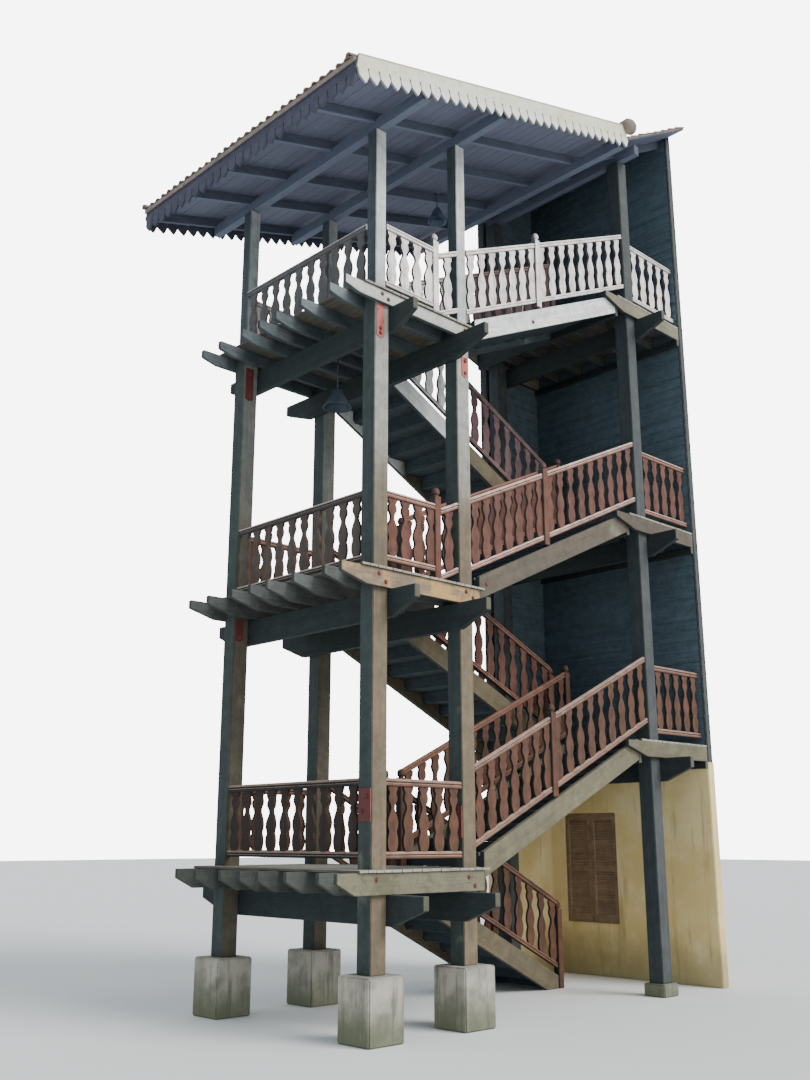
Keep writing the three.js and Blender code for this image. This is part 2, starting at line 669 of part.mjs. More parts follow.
function roofFrame() {
  const edge = 60;
  const middle = POST / 2;
  const inner = [middle, TOWER_WIDTH / 3, TOWER_WIDTH * 2 / 3, TOWER_WIDTH - middle];
  const outer = [VERGE_NEAR + edge, ...inner, VERGE_FAR - edge];
  const header = ROOF_TURN_X - PLATE_WIDTH;
  const eaveStart = EAVE_X + GAP;
  const solids = [
    ...outer.map((y) => rafter(eaveStart, ROOF_TURN_X - 1, y)),
    ...inner.map((y) => rafter(ROOF_TURN_X - 1, WALL_X - GAP, y)),
    plate(upperPostX(towerCorners.near) + UPPER_POST / 2, VERGE_NEAR + 30, VERGE_FAR - 30),
    plate(upperPostX(towerCorners.right) + UPPER_POST / 2, VERGE_NEAR + 30, VERGE_FAR - 30),
    plate(header, VERGE_NEAR + 30, VERGE_FAR - 30),
    plate(GALLERY_POST_X + POST / 2, -MAIN_ROOF_OVERHANG + 30, PARTY_WALL_Y - GAP),
  ];
  return piece('roof_frame', join(solids), darkTimber);
}

// The pointed lower edge of a fringe board: heights below its top edge, along its length
function fringe(length, height, topEdge) {
  const count = Math.round(length / TOOTH_PITCH);
  const pitch = length / count;
  const points = [[0, topEdge(0)]];
  for (let i = 0; i < count; i += 1) {
    const root = i * pitch;
    const tip = root + pitch / 2;
    points.push([root, topEdge(root) - height + TOOTH_HEIGHT]);
    points.push([tip, topEdge(tip) - height]);
  }
  points.push([length, topEdge(length) - height + TOOTH_HEIGHT]);
  points.push([length, topEdge(length)]);
  return outline(points);
}

function verge(name, y0, finish) {
  const length = ROOF_TURN_X - EAVE_X;
  const shape = fringe(length, VERGE_FRINGE_HEIGHT, (x) => x * LEAN_SLOPE);
  return piece(name, alongY(shape, y0, y0 + FRINGE_THICKNESS), finish, EAVE_X, 0, ROOF_TOP_AT_EAVE);
}

function eaveBoard() {
  const shape = fringe(VERGE_FAR - VERGE_NEAR, EAVE_FRINGE_HEIGHT, () => 0);
  const geometry = alongX(shape, -FRINGE_THICKNESS, 0);
  const top = roofTop(EAVE_X - FRINGE_THICKNESS) - SLAB_DEPTH - GAP;
  return piece('eave_board', geometry, darkTimber, EAVE_X, VERGE_NEAR, top);
}

// A rounded strip that covers the joint between the two roofs
function roofCap() {
  const steps = 6;
  const foot = (x) => [x, roofTop(x) + GAP];
  const points = [foot(ROOF_TURN_X - CAP_RADIUS), foot(ROOF_TURN_X), foot(ROOF_TURN_X + CAP_RADIUS)];
  for (let i = 1; i < steps; i += 1) {
    const angle = Math.PI * i / steps;
    const base = roofTop(ROOF_TURN_X + CAP_RADIUS * Math.cos(angle));
    points.push([ROOF_TURN_X + CAP_RADIUS * Math.cos(angle), base + CAP_RADIUS * Math.sin(angle)]);
  }
  return piece('roof_cap', alongY(outline(points), VERGE_NEAR - 65, VERGE_FAR + 65), clayTile);
}

// Assembly, from the ground up

const house = new THREE.Group();
Object.entries(towerCorners).forEach(([place, corner]) => house.add(...towerPosts(place, corner)));
house.add(...galleryPost('near', 0), ...galleryPost('far', TOWER_WIDTH - POST));
[0, 1, 2].forEach((storey) => {
  house.add(groupOf([landing(storey)], LANDING_LEVELS[storey]));
  house.add(groupOf([gallery(storey)], GALLERY_LEVELS[storey]));
  house.add(nearFlight(storey), farFlight(storey));
  house.add(frontRail(storey), sideRail(storey), backRail(storey), galleryEndRail(storey));
  house.add(nearFlightRail(storey), farFlightRail(storey), wellRail(storey));
});
house.add(topGalleryRail(), groundWall(), shutters(), upperWall());
house.add(towerRoof(), mainRoof(), roofFrame(), roofCap(), eaveBoard());
house.add(verge('near_verge', VERGE_NEAR - FRINGE_THICKNESS, paleTimber), verge('far_verge', VERGE_FAR, darkTimber));

// The origin is the centre of the whole on the ground
const extent = new THREE.Box3().setFromObject(house);
const middle = extent.getCenter(new THREE.Vector3());
house.position.set(-middle.x, -middle.y, 0);

const model = new THREE.Group();
model.add(house);

export default model;
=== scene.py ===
"""Looks for the timber stair tower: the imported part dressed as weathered, stained joinery."""

import math
import random

import bmesh
import bpy
from mathutils import Matrix, Vector


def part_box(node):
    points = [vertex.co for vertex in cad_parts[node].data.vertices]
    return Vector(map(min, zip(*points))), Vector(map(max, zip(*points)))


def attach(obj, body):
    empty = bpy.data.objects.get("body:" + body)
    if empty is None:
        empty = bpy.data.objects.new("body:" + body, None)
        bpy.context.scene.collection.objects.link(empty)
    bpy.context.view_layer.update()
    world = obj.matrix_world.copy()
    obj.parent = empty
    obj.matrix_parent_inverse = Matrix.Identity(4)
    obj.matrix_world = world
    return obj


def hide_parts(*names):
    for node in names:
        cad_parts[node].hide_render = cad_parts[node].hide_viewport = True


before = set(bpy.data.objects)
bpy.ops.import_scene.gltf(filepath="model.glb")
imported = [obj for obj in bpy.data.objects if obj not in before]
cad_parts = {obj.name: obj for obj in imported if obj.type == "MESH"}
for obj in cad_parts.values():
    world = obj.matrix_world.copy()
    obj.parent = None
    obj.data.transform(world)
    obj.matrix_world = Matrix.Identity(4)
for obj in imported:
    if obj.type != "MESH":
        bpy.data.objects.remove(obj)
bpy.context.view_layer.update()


# Camera, floor and light
# The camera stands where the photograph was taken: at eye height off the near corner, looking
# up. The floor is plain and pale, a bright sky surrounds it, and one broad light comes from the
# near side, so that the near faces are bright and the landing side stays dark.

near_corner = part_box("lower_post_near")[0]
CORNER = Vector((near_corner.x, near_corner.y, 0))


def placed(name, data):
    """A new object in the scene."""
    thing = bpy.data.objects.new(name, data)
    bpy.context.scene.collection.objects.link(thing)
    return thing


TILTED_UP, HEADING = 15.01, 46.14
eye = placed("eye", bpy.data.cameras.new("eye"))
eye.location = CORNER + Vector((-7.433, -8.199, 1.829))
eye.rotation_euler = (math.radians(90 + TILTED_UP), 0, math.radians(HEADING - 90))
eye.data.sensor_fit = "VERTICAL"
eye.data.sensor_height = 36
eye.data.lens = 37.25
eye.data.clip_end = 300
bpy.context.scene.camera = eye

sky = bpy.data.worlds.new("sky")
bpy.context.scene.world = sky
sky.use_nodes = True
sky_tree = sky.node_tree
sky_light = sky_tree.nodes["Background"]
sky_light.inputs["Color"].default_value = (0.84, 0.93, 1.0, 1)
sky_light.inputs["Strength"].default_value = 0.9
sky_seen = sky_tree.nodes.new("ShaderNodeBackground")
sky_seen.inputs["Color"].default_value = (1, 1, 1, 1)
sky_seen.inputs["Strength"].default_value = 7
sky_choice = sky_tree.nodes.new("ShaderNodeMixShader")
ray = sky_tree.nodes.new("ShaderNodeLightPath")
for socket, source in enumerate((ray.outputs["Is Camera Ray"], sky_light.outputs[0], sky_seen.outputs[0])):
    sky_tree.links.new(source, sky_choice.inputs[socket])
sky_tree.links.new(sky_choice.outputs[0], sky_tree.nodes["World Output"].inputs[0])

key = placed("key", bpy.data.lights.new("key", "SUN"))
key.data.energy = 3.3
key.data.angle = math.radians(35)
key.rotation_euler = Vector((0.35, -1.0, 0.85)).to_track_quat("Z", "Y").to_euler()

FLOOR_HALF = 90
floor_corners = [(x * FLOOR_HALF, y * FLOOR_HALF, 0) for x, y in ((-1, -1), (1, -1), (1, 1), (-1, 1))]
floor_mesh = bpy.data.meshes.new("floor")
floor_mesh.from_pydata(floor_corners, [], [(0, 1, 2, 3)])
floor_paint = bpy.data.materials.new("floor_paint")
floor_paint.use_nodes = True
floor_shader = floor_paint.node_tree.nodes["Principled BSDF"]
floor_shader.inputs["Base Color"].default_value = (0.8, 0.8, 0.78, 1)
floor_shader.inputs["Roughness"].default_value = 0.9
floor_mesh.materials.append(floor_paint)
placed("floor", floor_mesh)


# Footings and pads
# Square blocks of cast concrete that keep the posts off the wet ground. They show the marks of
# their forms, rain stains and green growth near the ground. Their edges are worn round.

def paint(code):
    """A colour from its six-figure screen code, in linear light."""
    parts = [int(code[i:i + 2], 16) / 255 for i in (0, 2, 4)]
    return (*[p / 12.92 if p <= 0.04045 else ((p + 0.055) / 1.055) ** 2.4 for p in parts], 1)


def add_node(tree, kind, settings, sockets):
    """Adds a node with its settings, and gives its sockets their values or links."""
    added = tree.nodes.new(kind)
    for name, value in (settings or {}).items():
        setattr(added, name, value)
    for name, value in (sockets or {}).items():
        if isinstance(value, bpy.types.NodeSocket):
            tree.links.new(value, added.inputs[name])
        else:
            added.inputs[name].default_value = value
    return added


class Value:
    """A shader socket that can be reckoned with: each sign adds a Math node."""

    def __init__(self, finish, socket):
        self.finish = finish
        self.socket = socket

    def sum(self, operation, first, second):
        return self.finish.node("ShaderNodeMath", {"operation": operation}, {0: first, 1: second})

    def __add__(self, other):
        return self.sum("ADD", self, other)

    def __sub__(self, other):
        return self.sum("SUBTRACT", self, other)

    def __rsub__(self, other):
        return self.sum("SUBTRACT", other, self)

    def __mul__(self, other):
        return self.sum("MULTIPLY", self, other)

    __radd__ = __add__
    __rmul__ = __mul__


class Finish:
    """A procedural material, read by Object coordinates, and the one way its nodes are added.
    ground keeps those coordinates, and place may be turned."""

    def __init__(self, name):
        self.material = bpy.data.materials.new(name)
        self.material.use_nodes = True
        self.tree = self.material.node_tree
        self.tree.nodes.clear()
        self.ground = self.node("ShaderNodeTexCoord", out="Object")
        self.place = self.ground

    def node(self, kind, settings=None, sockets=None, out=0):
        plain = {name: getattr(value, "socket", value) for name, value in (sockets or {}).items()}
        return Value(self, add_node(self.tree, kind, settings, plain).outputs[out])

    def turn(self, angle):
        """Turns the pattern about Y, so that it follows a sloping piece."""
        self.place = self.node("ShaderNodeVectorRotate", {"rotation_type": "Y_AXIS"}, {
            "Vector": self.place, "Angle": angle})

    def noise(self, scale, stretch=(1, 1, 1), detail=4, roughness=0.6):
        across = self.node("ShaderNodeMapping", None, {"Vector": self.place, "Scale": stretch})
        return self.node("ShaderNodeTexNoise", None, {
            "Vector": across, "Scale": scale, "Detail": detail, "Roughness": roughness})

    def between(self, value, low, high):
        """0 below low and 1 above high, smooth in between."""
        return self.node("ShaderNodeMapRange", {"interpolation_type": "SMOOTHSTEP"}, {
            "Value": value, "From Min": low, "From Max": high})

    def mix(self, factor, first, second, blend="MIX"):
        """Mixes two colours, each a value or a screen code."""
        first, second = (paint(colour) if isinstance(colour, str) else colour for colour in (first, second))
        return self.node("ShaderNodeMix", {"data_type": "RGBA", "blend_type": blend}, {
            0: factor, 6: first, 7: second}, out=2)

    def facing(self):
        """The three parts of the direction that the surface faces."""
        normal = self.node("ShaderNodeNewGeometry", out="Normal")
        return [self.node("ShaderNodeSeparateXYZ", None, {0: normal}, out=part) for part in range(3)]

    def height(self):
        return self.node("ShaderNodeSeparateXYZ", None, {0: self.ground}, out=2)

    def surface(self, colour, roughness, relief, depth, metallic=0.0, specular=0.35):
        bump = self.node("ShaderNodeBump", None, {"Height": relief, "Distance": depth})
        shader = self.node("ShaderNodeBsdfPrincipled", None, {
            "Base Color": colour, "Roughness": roughness, "Normal": bump,
            "Metallic": metallic, "Specular IOR Level": specular})
        add_node(self.tree, "ShaderNodeOutputMaterial", None, {"Surface": shader.socket})
        return self.material


def concrete():
    f = Finish("weathered_concrete")
    cloud = f.noise(3.5)
    grit = f.noise(90, detail=3)
    runs = f.noise(1.0, (16, 16, 1.2))
    board_marks = f.noise(1.0, (0.4, 0.4, 14), detail=1)
    low = 1 - f.between(f.height() + (cloud - 0.5) * 0.35, 0.05, 0.5)
    colour = f.mix(f.between(cloud, 0.35, 0.65), "8f8b80", "b3ada0")
    colour = f.mix(f.between(runs, 0.52, 0.7) * 0.7, colour, "5d5a50")
    colour = f.mix(low * 0.75, colour, "5b6148")
    relief = grit * 0.4 + board_marks * 0.8 + cloud
    return f.surface(colour, 0.85 + grit * 0.12, relief, 0.006, specular=0.25)


def ease(build, edges, width, steps):
    """Takes the sharpness off those of the edges that are corners."""
    sharp = [e for e in edges if len(e.link_faces) == 2 and e.calc_face_angle() > 0.5]
    bmesh.ops.bevel(build, geom=sharp, offset=width, segments=steps, affect="EDGES", clamp_overlap=True)


def made(name, build, material, slot, *nodes):
    """A bmesh becomes a piece that rides on the part and stands for these CAD nodes, if any."""
    mesh = bpy.data.meshes.new(name)
    build.to_mesh(mesh)
    build.free()
    mesh.materials.append(material)
    piece = placed(name, mesh)
    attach(piece, "root")
    if nodes:
        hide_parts(*nodes)


def eased(node, name, width, material, slot):
    """A piece of the node's own shape, welded, with its corners eased."""
    build = bmesh.new()
    build.from_mesh(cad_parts[node].data)
    bmesh.ops.remove_doubles(build, verts=build.verts, dist=1e-5)
    bmesh.ops.dissolve_limit(build, angle_limit=0.01, verts=build.verts, edges=build.edges)
    ease(build, build.edges, width, 2)
    made(name, build, material, slot, node)


footing_concrete = concrete()
for place in ("near", "left", "right", "far"):
    eased(f"footing_{place}", f"footing_block_{place}", 0.014, footing_concrete, "concrete")
for place in ("near", "far"):
    eased(f"gallery_pad_{place}", f"pad_block_{place}", 0.012, footing_concrete, "concrete")


# Posts
# Sawn hardwood, stained nearly black. The near faces, which get the sun and the rain, have
# weathered to grey with drying cracks, and their paleness is painted light as well. The tower's
# upper posts are thinner and stand on the lower ones, and the gallery's posts are single timbers in
# the shade. The left and far posts take less of the near-face colour: painted shade.

def timber(name, grain, shade, near_face_colour, near_face_share=1.0, tops=0.6, cracks=0.4, lichen=0.0, patch=None,
           fade=None, tilt=0.0, lively=1.0, painted_highlight=None):
    """Weathered timber. grain is the axis that its fibres follow, and shade its colour out of the sun;
    the bluish tint of most shade colours here is painted skylight in the shade. The next colour is that
    of faces turned to the near side: sun bleaching and painted light both, and on the roof timbers a
    darker painted shade. Upward faces pale as tops says, weathering and painted skylight both. It may
    have patches, fade to another colour from a first place to a second along a direction, and carry a
    painted highlight on its upward faces."""
    f = Finish(name)
    if tilt:
        f.turn(tilt)
    across = [1.0, 1.0, 1.0]
    across[grain] = 0.04
    fibres = f.between(f.noise(70, across, detail=3, roughness=0.7), 0.3, 0.7)
    streaks = f.noise(17, across, detail=3)
    cloud = f.noise(1.7, detail=3)
    mottle = f.noise(7, detail=5, roughness=0.7)
    crack = f.node("ShaderNodeMath", {"operation": "ABSOLUTE"}, {0: streaks - 0.44})
    crack = (1 - f.between(crack, 0.002, 0.008)) * f.between(mottle, 0.55, 0.65) * cracks
    tone = f.node("ShaderNodeAttribute", {"attribute_name": "tone"}, out="Fac")
    face = f.facing()
    # Faces turned to the near side take the near-face colour: sun bleaching and painted light both.
    sunny = f.between(0 - face[1], 0.35, 0.9)
    upward = f.between(face[2], 0.5, 0.95)
    sun = near_face_colour
    if fade:
        faded, first, last, direction = fade
        along = f.node("ShaderNodeVectorMath", {"operation": "DOT_PRODUCT"}, {
            0: f.ground, 1: direction}, out="Value")
        sun = f.mix(f.between(along + (cloud - 0.5) * 0.6, first, last), near_face_colour, faded)
    if patch:
        sun = f.mix(f.between(mottle * 0.5 + cloud * 0.5, 0.48, 0.58) * 0.8, sun, patch)
    near_face_and_top_share = sunny * near_face_share * (0.75 + f.between(cloud, 0.3, 0.7) * 0.25) + upward * tops
    colour = f.mix(near_face_and_top_share, shade, sun)
    colour = f.mix(f.between(streaks, 0.52, 0.75) * 0.3, colour, shade)
    colour = f.mix(f.between(cloud, 0.6, 0.75) * lichen, colour, "a9ad94")
    # A painted highlight on upward faces.
    if painted_highlight:
        colour = f.mix(f.between(face[2], 0.2, 0.5), colour, painted_highlight)
    figure = fibres * 0.2 + f.between(mottle, 0.36, 0.64) * 0.26 + f.between(streaks, 0.35, 0.65) * 0.2
    colour = f.mix(1.0, colour, 1 + (figure - 0.33) * lively + tone * 0.35, "MULTIPLY")
    colour = f.mix(crack, colour, "15120f")
    relief = fibres * 0.35 + streaks * 0.4 - crack * 2
    return f.surface(colour, 0.72 + fibres * 0.2 - near_face_and_top_share * 0.05, relief, 0.004)


UP = (0, 0, 1)
AWAY = (-1, 0, 0)
NEARWARD = (0, -1, 0)
# Lit and shaded copies of the post timbers: the shaded one, with less of the pale near-face colour, is
# painted shade.
for light, places, near_face_share in (("sunlit", ("near", "right"), 1.0), ("shaded", ("left", "far"), 0.55)):
    lower_grain = timber(f"post_timber_lower_{light}", 2, "384140", "7a6a54", lichen=0.25,
                         near_face_share=near_face_share, fade=("a9a79e", 5.0, 6.4, UP))
    upper_grain = timber(f"post_timber_upper_{light}", 2, "414b50", "d6d8d3",
                         near_face_share=near_face_share * 0.95)
    for place in places:
        eased(f"lower_post_{place}", f"lower_timber_{place}", 0.007, lower_grain, "grey_timber")
        eased(f"upper_post_{place}", f"upper_timber_{place}", 0.006, upper_grain, "grey_timber")

# Its near faces stay dark: painted shade under the roof.
dark_grain = timber("post_timber_dark", 2, "353d40", "545553", near_face_share=0.7)
for place in ("near", "far"):
    eased(f"gallery_post_{place}", f"gallery_timber_{place}", 0.007, dark_grain, "dark_timber")


# Splice plates and bolts
# Steel straps, cut to a point at the foot, tie the posts to the beams above them, and square plates
# are bolted to two posts lower down. The bolts have hexagon heads on washers, and hold the outer
# joists too. The red paint has faded and rusts, and its near faces are paler, painted light as well;
# the straps and plate on the left post are a darker copy, painted shade.

def red_steel(name, lit):
    f = Finish(name)
    cloud = f.noise(9)
    grit = f.noise(60)
    runs = f.noise(1.0, (30, 30, 3))
    rust = f.between(cloud + (grit - 0.5) * 0.4, 0.55, 0.7)
    # Near faces take the paler colour: painted light, with the paint's fading.
    sunny = f.between(0 - f.facing()[1], 0.35, 0.9)
    colour = f.mix(sunny * 0.85, "5a2a28", lit)
    colour = f.mix(rust * 0.7, colour, "5c3323")
    colour = f.mix(f.between(runs, 0.55, 0.7) * 0.35, colour, "3a2420")
    return f.surface(colour, 0.55 + rust * 0.35, grit * 0.4 - rust, 0.002)


class Pattern:
    """A Geometry Nodes tree with named inputs, and the one way its nodes are added."""

    def __init__(self, name, inputs):
        self.tree = bpy.data.node_groups.new(name, "GeometryNodeTree")
        self.tree.interface.new_socket("Result", in_out="OUTPUT", socket_type="NodeSocketGeometry")
        for label, kind in inputs.items():
            self.tree.interface.new_socket(label, in_out="INPUT", socket_type=f"NodeSocket{kind}")
        self.inputs = self.tree.nodes.new("NodeGroupInput").outputs

    def node(self, kind, settings=None, sockets=None, out=0):
        return add_node(self.tree, kind, settings, sockets).outputs[out]

    def end(self, instances):
        real = self.node("GeometryNodeRealizeInstances", None, {"Geometry": instances})
        finished = self.node("GeometryNodeSetMaterial", None, {
            "Geometry": real, "Material": self.inputs["Finish"]})
        add_node(self.tree, "NodeGroupOutput", None, {"Result": finished})

    def grown(self, start, values):
        """What the tree makes of a mesh, as a plain mesh."""
        holder = placed("holder", start)
        pattern = holder.modifiers.new("pattern", "NODES")
        pattern.node_group = self.tree
        for socket in self.tree.interface.items_tree:
            if socket.name in values:
                pattern[socket.identifier] = values[socket.name]
        graph = bpy.context.evaluated_depsgraph_get()
        mesh = bpy.data.meshes.new_from_object(holder.evaluated_get(graph))
        holder.modifiers.remove(pattern)
        bpy.data.objects.remove(holder)
        return mesh


def bolt_pattern():
    """A bolt's head on its washer at every point of a mesh, turned to face as it is told."""
    p = Pattern("bolt_heads", {"Places": "Geometry", "Head Radius": "Float", "Head Height": "Float",
                               "Washer Radius": "Float", "Turn": "Vector", "Finish": "Material"})
    head = p.node("GeometryNodeMeshCylinder", None, {
        "Vertices": 6, "Radius": p.inputs["Head Radius"], "Depth": p.inputs["Head Height"]})
    half = p.node("ShaderNodeMath", {"operation": "MULTIPLY"}, {0: p.inputs["Head Height"], 1: 0.5})
    lift = p.node("ShaderNodeCombineXYZ", None, {"Z": half})
    raised = p.node("GeometryNodeTransform", None, {"Geometry": head, "Translation": lift})
    washer = p.node("GeometryNodeMeshCylinder", None, {
        "Vertices": 14, "Radius": p.inputs["Washer Radius"], "Depth": 0.008})
    bolt = p.tree.nodes.new("GeometryNodeJoinGeometry")
    p.tree.links.new(raised, bolt.inputs[0])
    p.tree.links.new(washer, bolt.inputs[0])
    p.end(p.node("GeometryNodeInstanceOnPoints", None, {
        "Points": p.inputs["Places"], "Instance": bolt.outputs[0], "Rotation": p.inputs["Turn"]}))
    return p


def fresh():
    """An empty mesh to build in, with the tone that tells one board from the next."""
    build = bmesh.new()
    build.verts.layers.float.new("tone")
    return build


def bar(build, start, end, tone=0.0):
    """A closed bar from one ring of places to another."""
    layer = build.verts.layers.float["tone"]
    rings = [[build.verts.new(place) for place in ring] for ring in (start, end)]
    for corner in rings[0] + rings[1]:
        corner[layer] = tone
    faces = [build.faces.new(ring) for ring in rings]
    faces += [build.faces.new((rings[0][i - 1], rings[0][i], rings[1][i], rings[1][i - 1]))
              for i in range(len(start))]
    bmesh.ops.recalc_face_normals(build, faces=faces)
    return faces


def prism(build, outline, axis, start, end, arris=0.0, tone=0.0):
    """A closed bar of this outline along an axis (0 to 2), its corners eased by the arris. The
    outline's two numbers run along the other two axes, in their own order."""
    rings = [[(*pair[:axis], along, *pair[axis:]) for pair in outline] for along in (start, end)]
    faces = bar(build, *rings, tone)
    if arris:
        ease(build, {e for face in faces for e in face.edges}, arris, 1)


def oblong(low_u, low_v, high_u, high_v):
    """The outline of a squared timber."""
    return (low_u, low_v), (high_u, low_v), (high_u, high_v), (low_u, high_v)


def built(name, build, material, slot, *nodes):
    """A piece that was built from the near post's corner, set down in its place."""
    bmesh.ops.translate(build, verts=build.verts, vec=CORNER)
    made(name, build, material, slot, *nodes)


# The posts' and joists' faces, from the near post's corner. Neighbours lie a GAP apart.
GAP = 0.0003
POST = 0.2
RIGHT_POST = 1.278
FAR_FACE = 2.594
LEFT_POST = FAR_FACE - POST
JOIST = 0.056
NEAR_JOIST = -GAP - JOIST
FAR_JOIST = FAR_FACE + GAP
FAR_END = FAR_JOIST + JOIST
PLATE = 0.008
near_straps = fresh()
left_straps = fresh()
for straps, y, left, right, low, high in (
        (near_straps, 0.0, 0.017, 0.125, 7.075, 7.47), (near_straps, 0.0, 1.355, 1.46, 7.005, 7.26),
        (left_straps, LEFT_POST, 0.02, 0.135, 7.045, 7.47),
        (left_straps, LEFT_POST, 0.02, 0.12, 4.045, 4.305)):
    middle = (left + right) / 2
    prism(straps, ((left, high), (left, low + 0.02), (middle, low), (right, low + 0.02), (right, high)),
          1, y - PLATE, y, 0.0015)
for x, low, high in ((0.0, 1.998, 2.315), (RIGHT_POST, 1.846, 2.17)):
    prism(near_straps, oblong(0.01, low, POST - 0.01, high), 0, x - PLATE, x, 0.0015)
built("splice_plates", near_straps, red_steel("faded_and_lit_red_paint", "c46c60"), "red_steel")
# The left post's straps and plate are a darker copy: painted shade.
built("left_splice_plates", left_straps, red_steel("shaded_red_paint", "6e3834"), "red_steel")

bolts = bolt_pattern()
bolt_steel = red_steel("rusty_bolt_paint", "83493c")
bolt_sizes = {"Head Radius": 0.016, "Head Height": 0.014, "Washer Radius": 0.024, "Finish": bolt_steel}
plate_bolts = [(0.071, -PLATE, 7.13), (0.071, -PLATE, 7.185), (1.407, -PLATE, 7.06), (1.407, -PLATE, 7.21)]
plate_bolts += [(x, LEFT_POST - PLATE, z) for x, z in ((0.078, 7.1), (0.078, 7.4), (0.07, 4.1))]
joist_bolts = [(x, NEAR_JOIST, z) for x, z in (
    (0.022, 1.462), (1.3, 1.461), (1.39, 1.372), (0.03, 4.441), (0.123, 4.365), (1.32, 4.445),
    (1.426, 4.39), (0.05, 7.57), (0.14, 7.53), (1.36, 7.57), (1.44, 7.53))]
string_bolts = [(2.691, GAP, 8.147), (1.72, GAP, 7.72), (1.72, GAP, 4.6)]
far_bolts = [(x, FAR_END + GAP, z) for x, _, z in joist_bolts]
side_bolts = [(-PLATE, 0.069, 2.239), (-PLATE, 0.135, 2.0925), (RIGHT_POST - PLATE, 0.065, 2.109),
              (RIGHT_POST - PLATE, 0.158, 1.911)]
heads = fresh()
for places, turn in ((plate_bolts + joist_bolts + string_bolts, (math.pi / 2, 0, 0)),
                     (far_bolts, (-math.pi / 2, 0, 0)), (side_bolts, (0, -math.pi / 2, 0))):
    points = bpy.data.meshes.new("places")
    points.from_pydata(places, [], [])
    heads.from_mesh(bolts.grown(points, {**bolt_sizes, "Turn": turn}))
built("bolt_heads", heads, bolt_steel, "red_steel")


# Landings
# Three open decks. Deep beams across the posts carry eight joists, whose tips taper past the outer
# beam, and boards lie across the joists. The outer joists are bolted to the posts' faces.

def row_pattern():
    """Repeats a piece by a step, and the row by a second step. Every copy has a tone of its own
    and stands or leans a little off its place."""
    p = Pattern("rows_of_pieces", {
        "Piece": "Geometry", "Start": "Vector", "Count": "Int", "Step": "Vector", "Rows": "Int",
        "Row Step": "Vector", "Unevenness": "Vector", "Lean": "Vector", "Seed": "Int",
        "Finish": "Material"})
    line = p.node("GeometryNodeMeshLine", {"mode": "OFFSET"}, {
        "Count": p.inputs["Count"], "Offset": p.inputs["Step"]})
    starts = p.node("GeometryNodeMeshLine", {"mode": "OFFSET"}, {
        "Count": p.inputs["Rows"], "Start Location": p.inputs["Start"], "Offset": p.inputs["Row Step"]})
    lines = p.node("GeometryNodeInstanceOnPoints", None, {"Points": starts, "Instance": line})
    places = p.node("GeometryNodeRealizeInstances", None, {"Geometry": lines})
    copies = p.node("GeometryNodeInstanceOnPoints", None, {"Points": places, "Instance": p.inputs["Piece"]})
    offsets = []
    for label, turn in (("Unevenness", 0), ("Lean", 1)):
        least = p.node("ShaderNodeVectorMath", {"operation": "SCALE"}, {0: p.inputs[label], "Scale": -1.0})
        seed = p.node("ShaderNodeMath", {"operation": "ADD"}, {0: p.inputs["Seed"], 1: turn})
        offsets.append(p.node("FunctionNodeRandomValue", {"data_type": "FLOAT_VECTOR"}, {
            0: least, 1: p.inputs[label], "Seed": seed}))
    moved = p.node("GeometryNodeTranslateInstances", None, {
        "Instances": copies, "Translation": offsets[0], "Local Space": False})
    leaning = p.node("GeometryNodeRotateInstances", None, {"Instances": moved, "Rotation": offsets[1]})
    seed = p.node("ShaderNodeMath", {"operation": "ADD"}, {0: p.inputs["Seed"], 1: 2})
    tone = p.node("FunctionNodeRandomValue", {"data_type": "FLOAT"}, {2: -0.5, 3: 0.5, "Seed": seed}, out=1)
    toned = p.node("GeometryNodeStoreNamedAttribute", {"data_type": "FLOAT", "domain": "INSTANCE"}, {
        "Geometry": leaning, "Name": "tone", "Value": tone})
    p.end(toned)
    return p


rows = row_pattern()


def add_row(build, unit, finish, count, step, seed, rows_of=1, row_step=(0, 0, 0), uneven=(0, 0, 0),
            lean=(0, 0, 0)):
    """Repeats a unit and adds the copies to what is being built. The unit is drawn in its first
    place, and each copy leans about its own middle."""
    middle = sum((v.co for v in unit.verts), Vector()) / len(unit.verts)
    bmesh.ops.translate(unit, verts=unit.verts, vec=-middle)
    start = bpy.data.meshes.new("unit")
    unit.to_mesh(start)
    unit.free()
    copies = rows.grown(start, {
        "Start": middle, "Count": count, "Step": step, "Rows": rows_of, "Row Step": row_step,
        "Unevenness": uneven, "Lean": lean, "Seed": seed, "Finish": finish})
    build.from_mesh(copies)
    bpy.data.meshes.remove(copies)
    bpy.data.meshes.remove(start)


def lay_boards(name, node, top, strips, ends, seed):
    """Floor boards along Y, on joists of this height. A strip is its first x, last x, number of
    boards, and the places along Y where the boards stop short of a post."""
    build = fresh()
    for start, end, count, stops in strips:
        width = (end - start) / count
        edges = (ends[0], *stops, ends[1])
        for near, far in zip(edges[::2], edges[1::2]):
            seed += 1
            board = fresh()
            prism(board, oblong(start + 0.0025, near, start + width - 0.0025, far), 2, 0.0, BOARD, 0.003)
            add_row(build, board, board_timber, count, (width, 0, 0), seed, uneven=(0.001, 0.002, 0.001))
    bmesh.ops.translate(build, verts=build.verts, vec=(0, 0, top))
    built(name, build, board_timber, "dark_timber", node)


BOARD = 0.025
LANDING_EDGE = 1.6
LEVELS = (1.525, 4.496, 7.623)
JOIST_PLACES = (0.205, 0.695, 1.145, 1.45, 1.785, 2.24, FAR_JOIST)
ROUND_POSTS = (-0.003, POST + 0.003, LEFT_POST - 0.003, FAR_FACE + 0.003)
board_timber = timber("floor_board_timber", 1, "57534a", "a9a598", tops=0.8)
beam_timber = timber("beam_timber", 1, "272f30", "6d6a59", near_face_share=0.7)
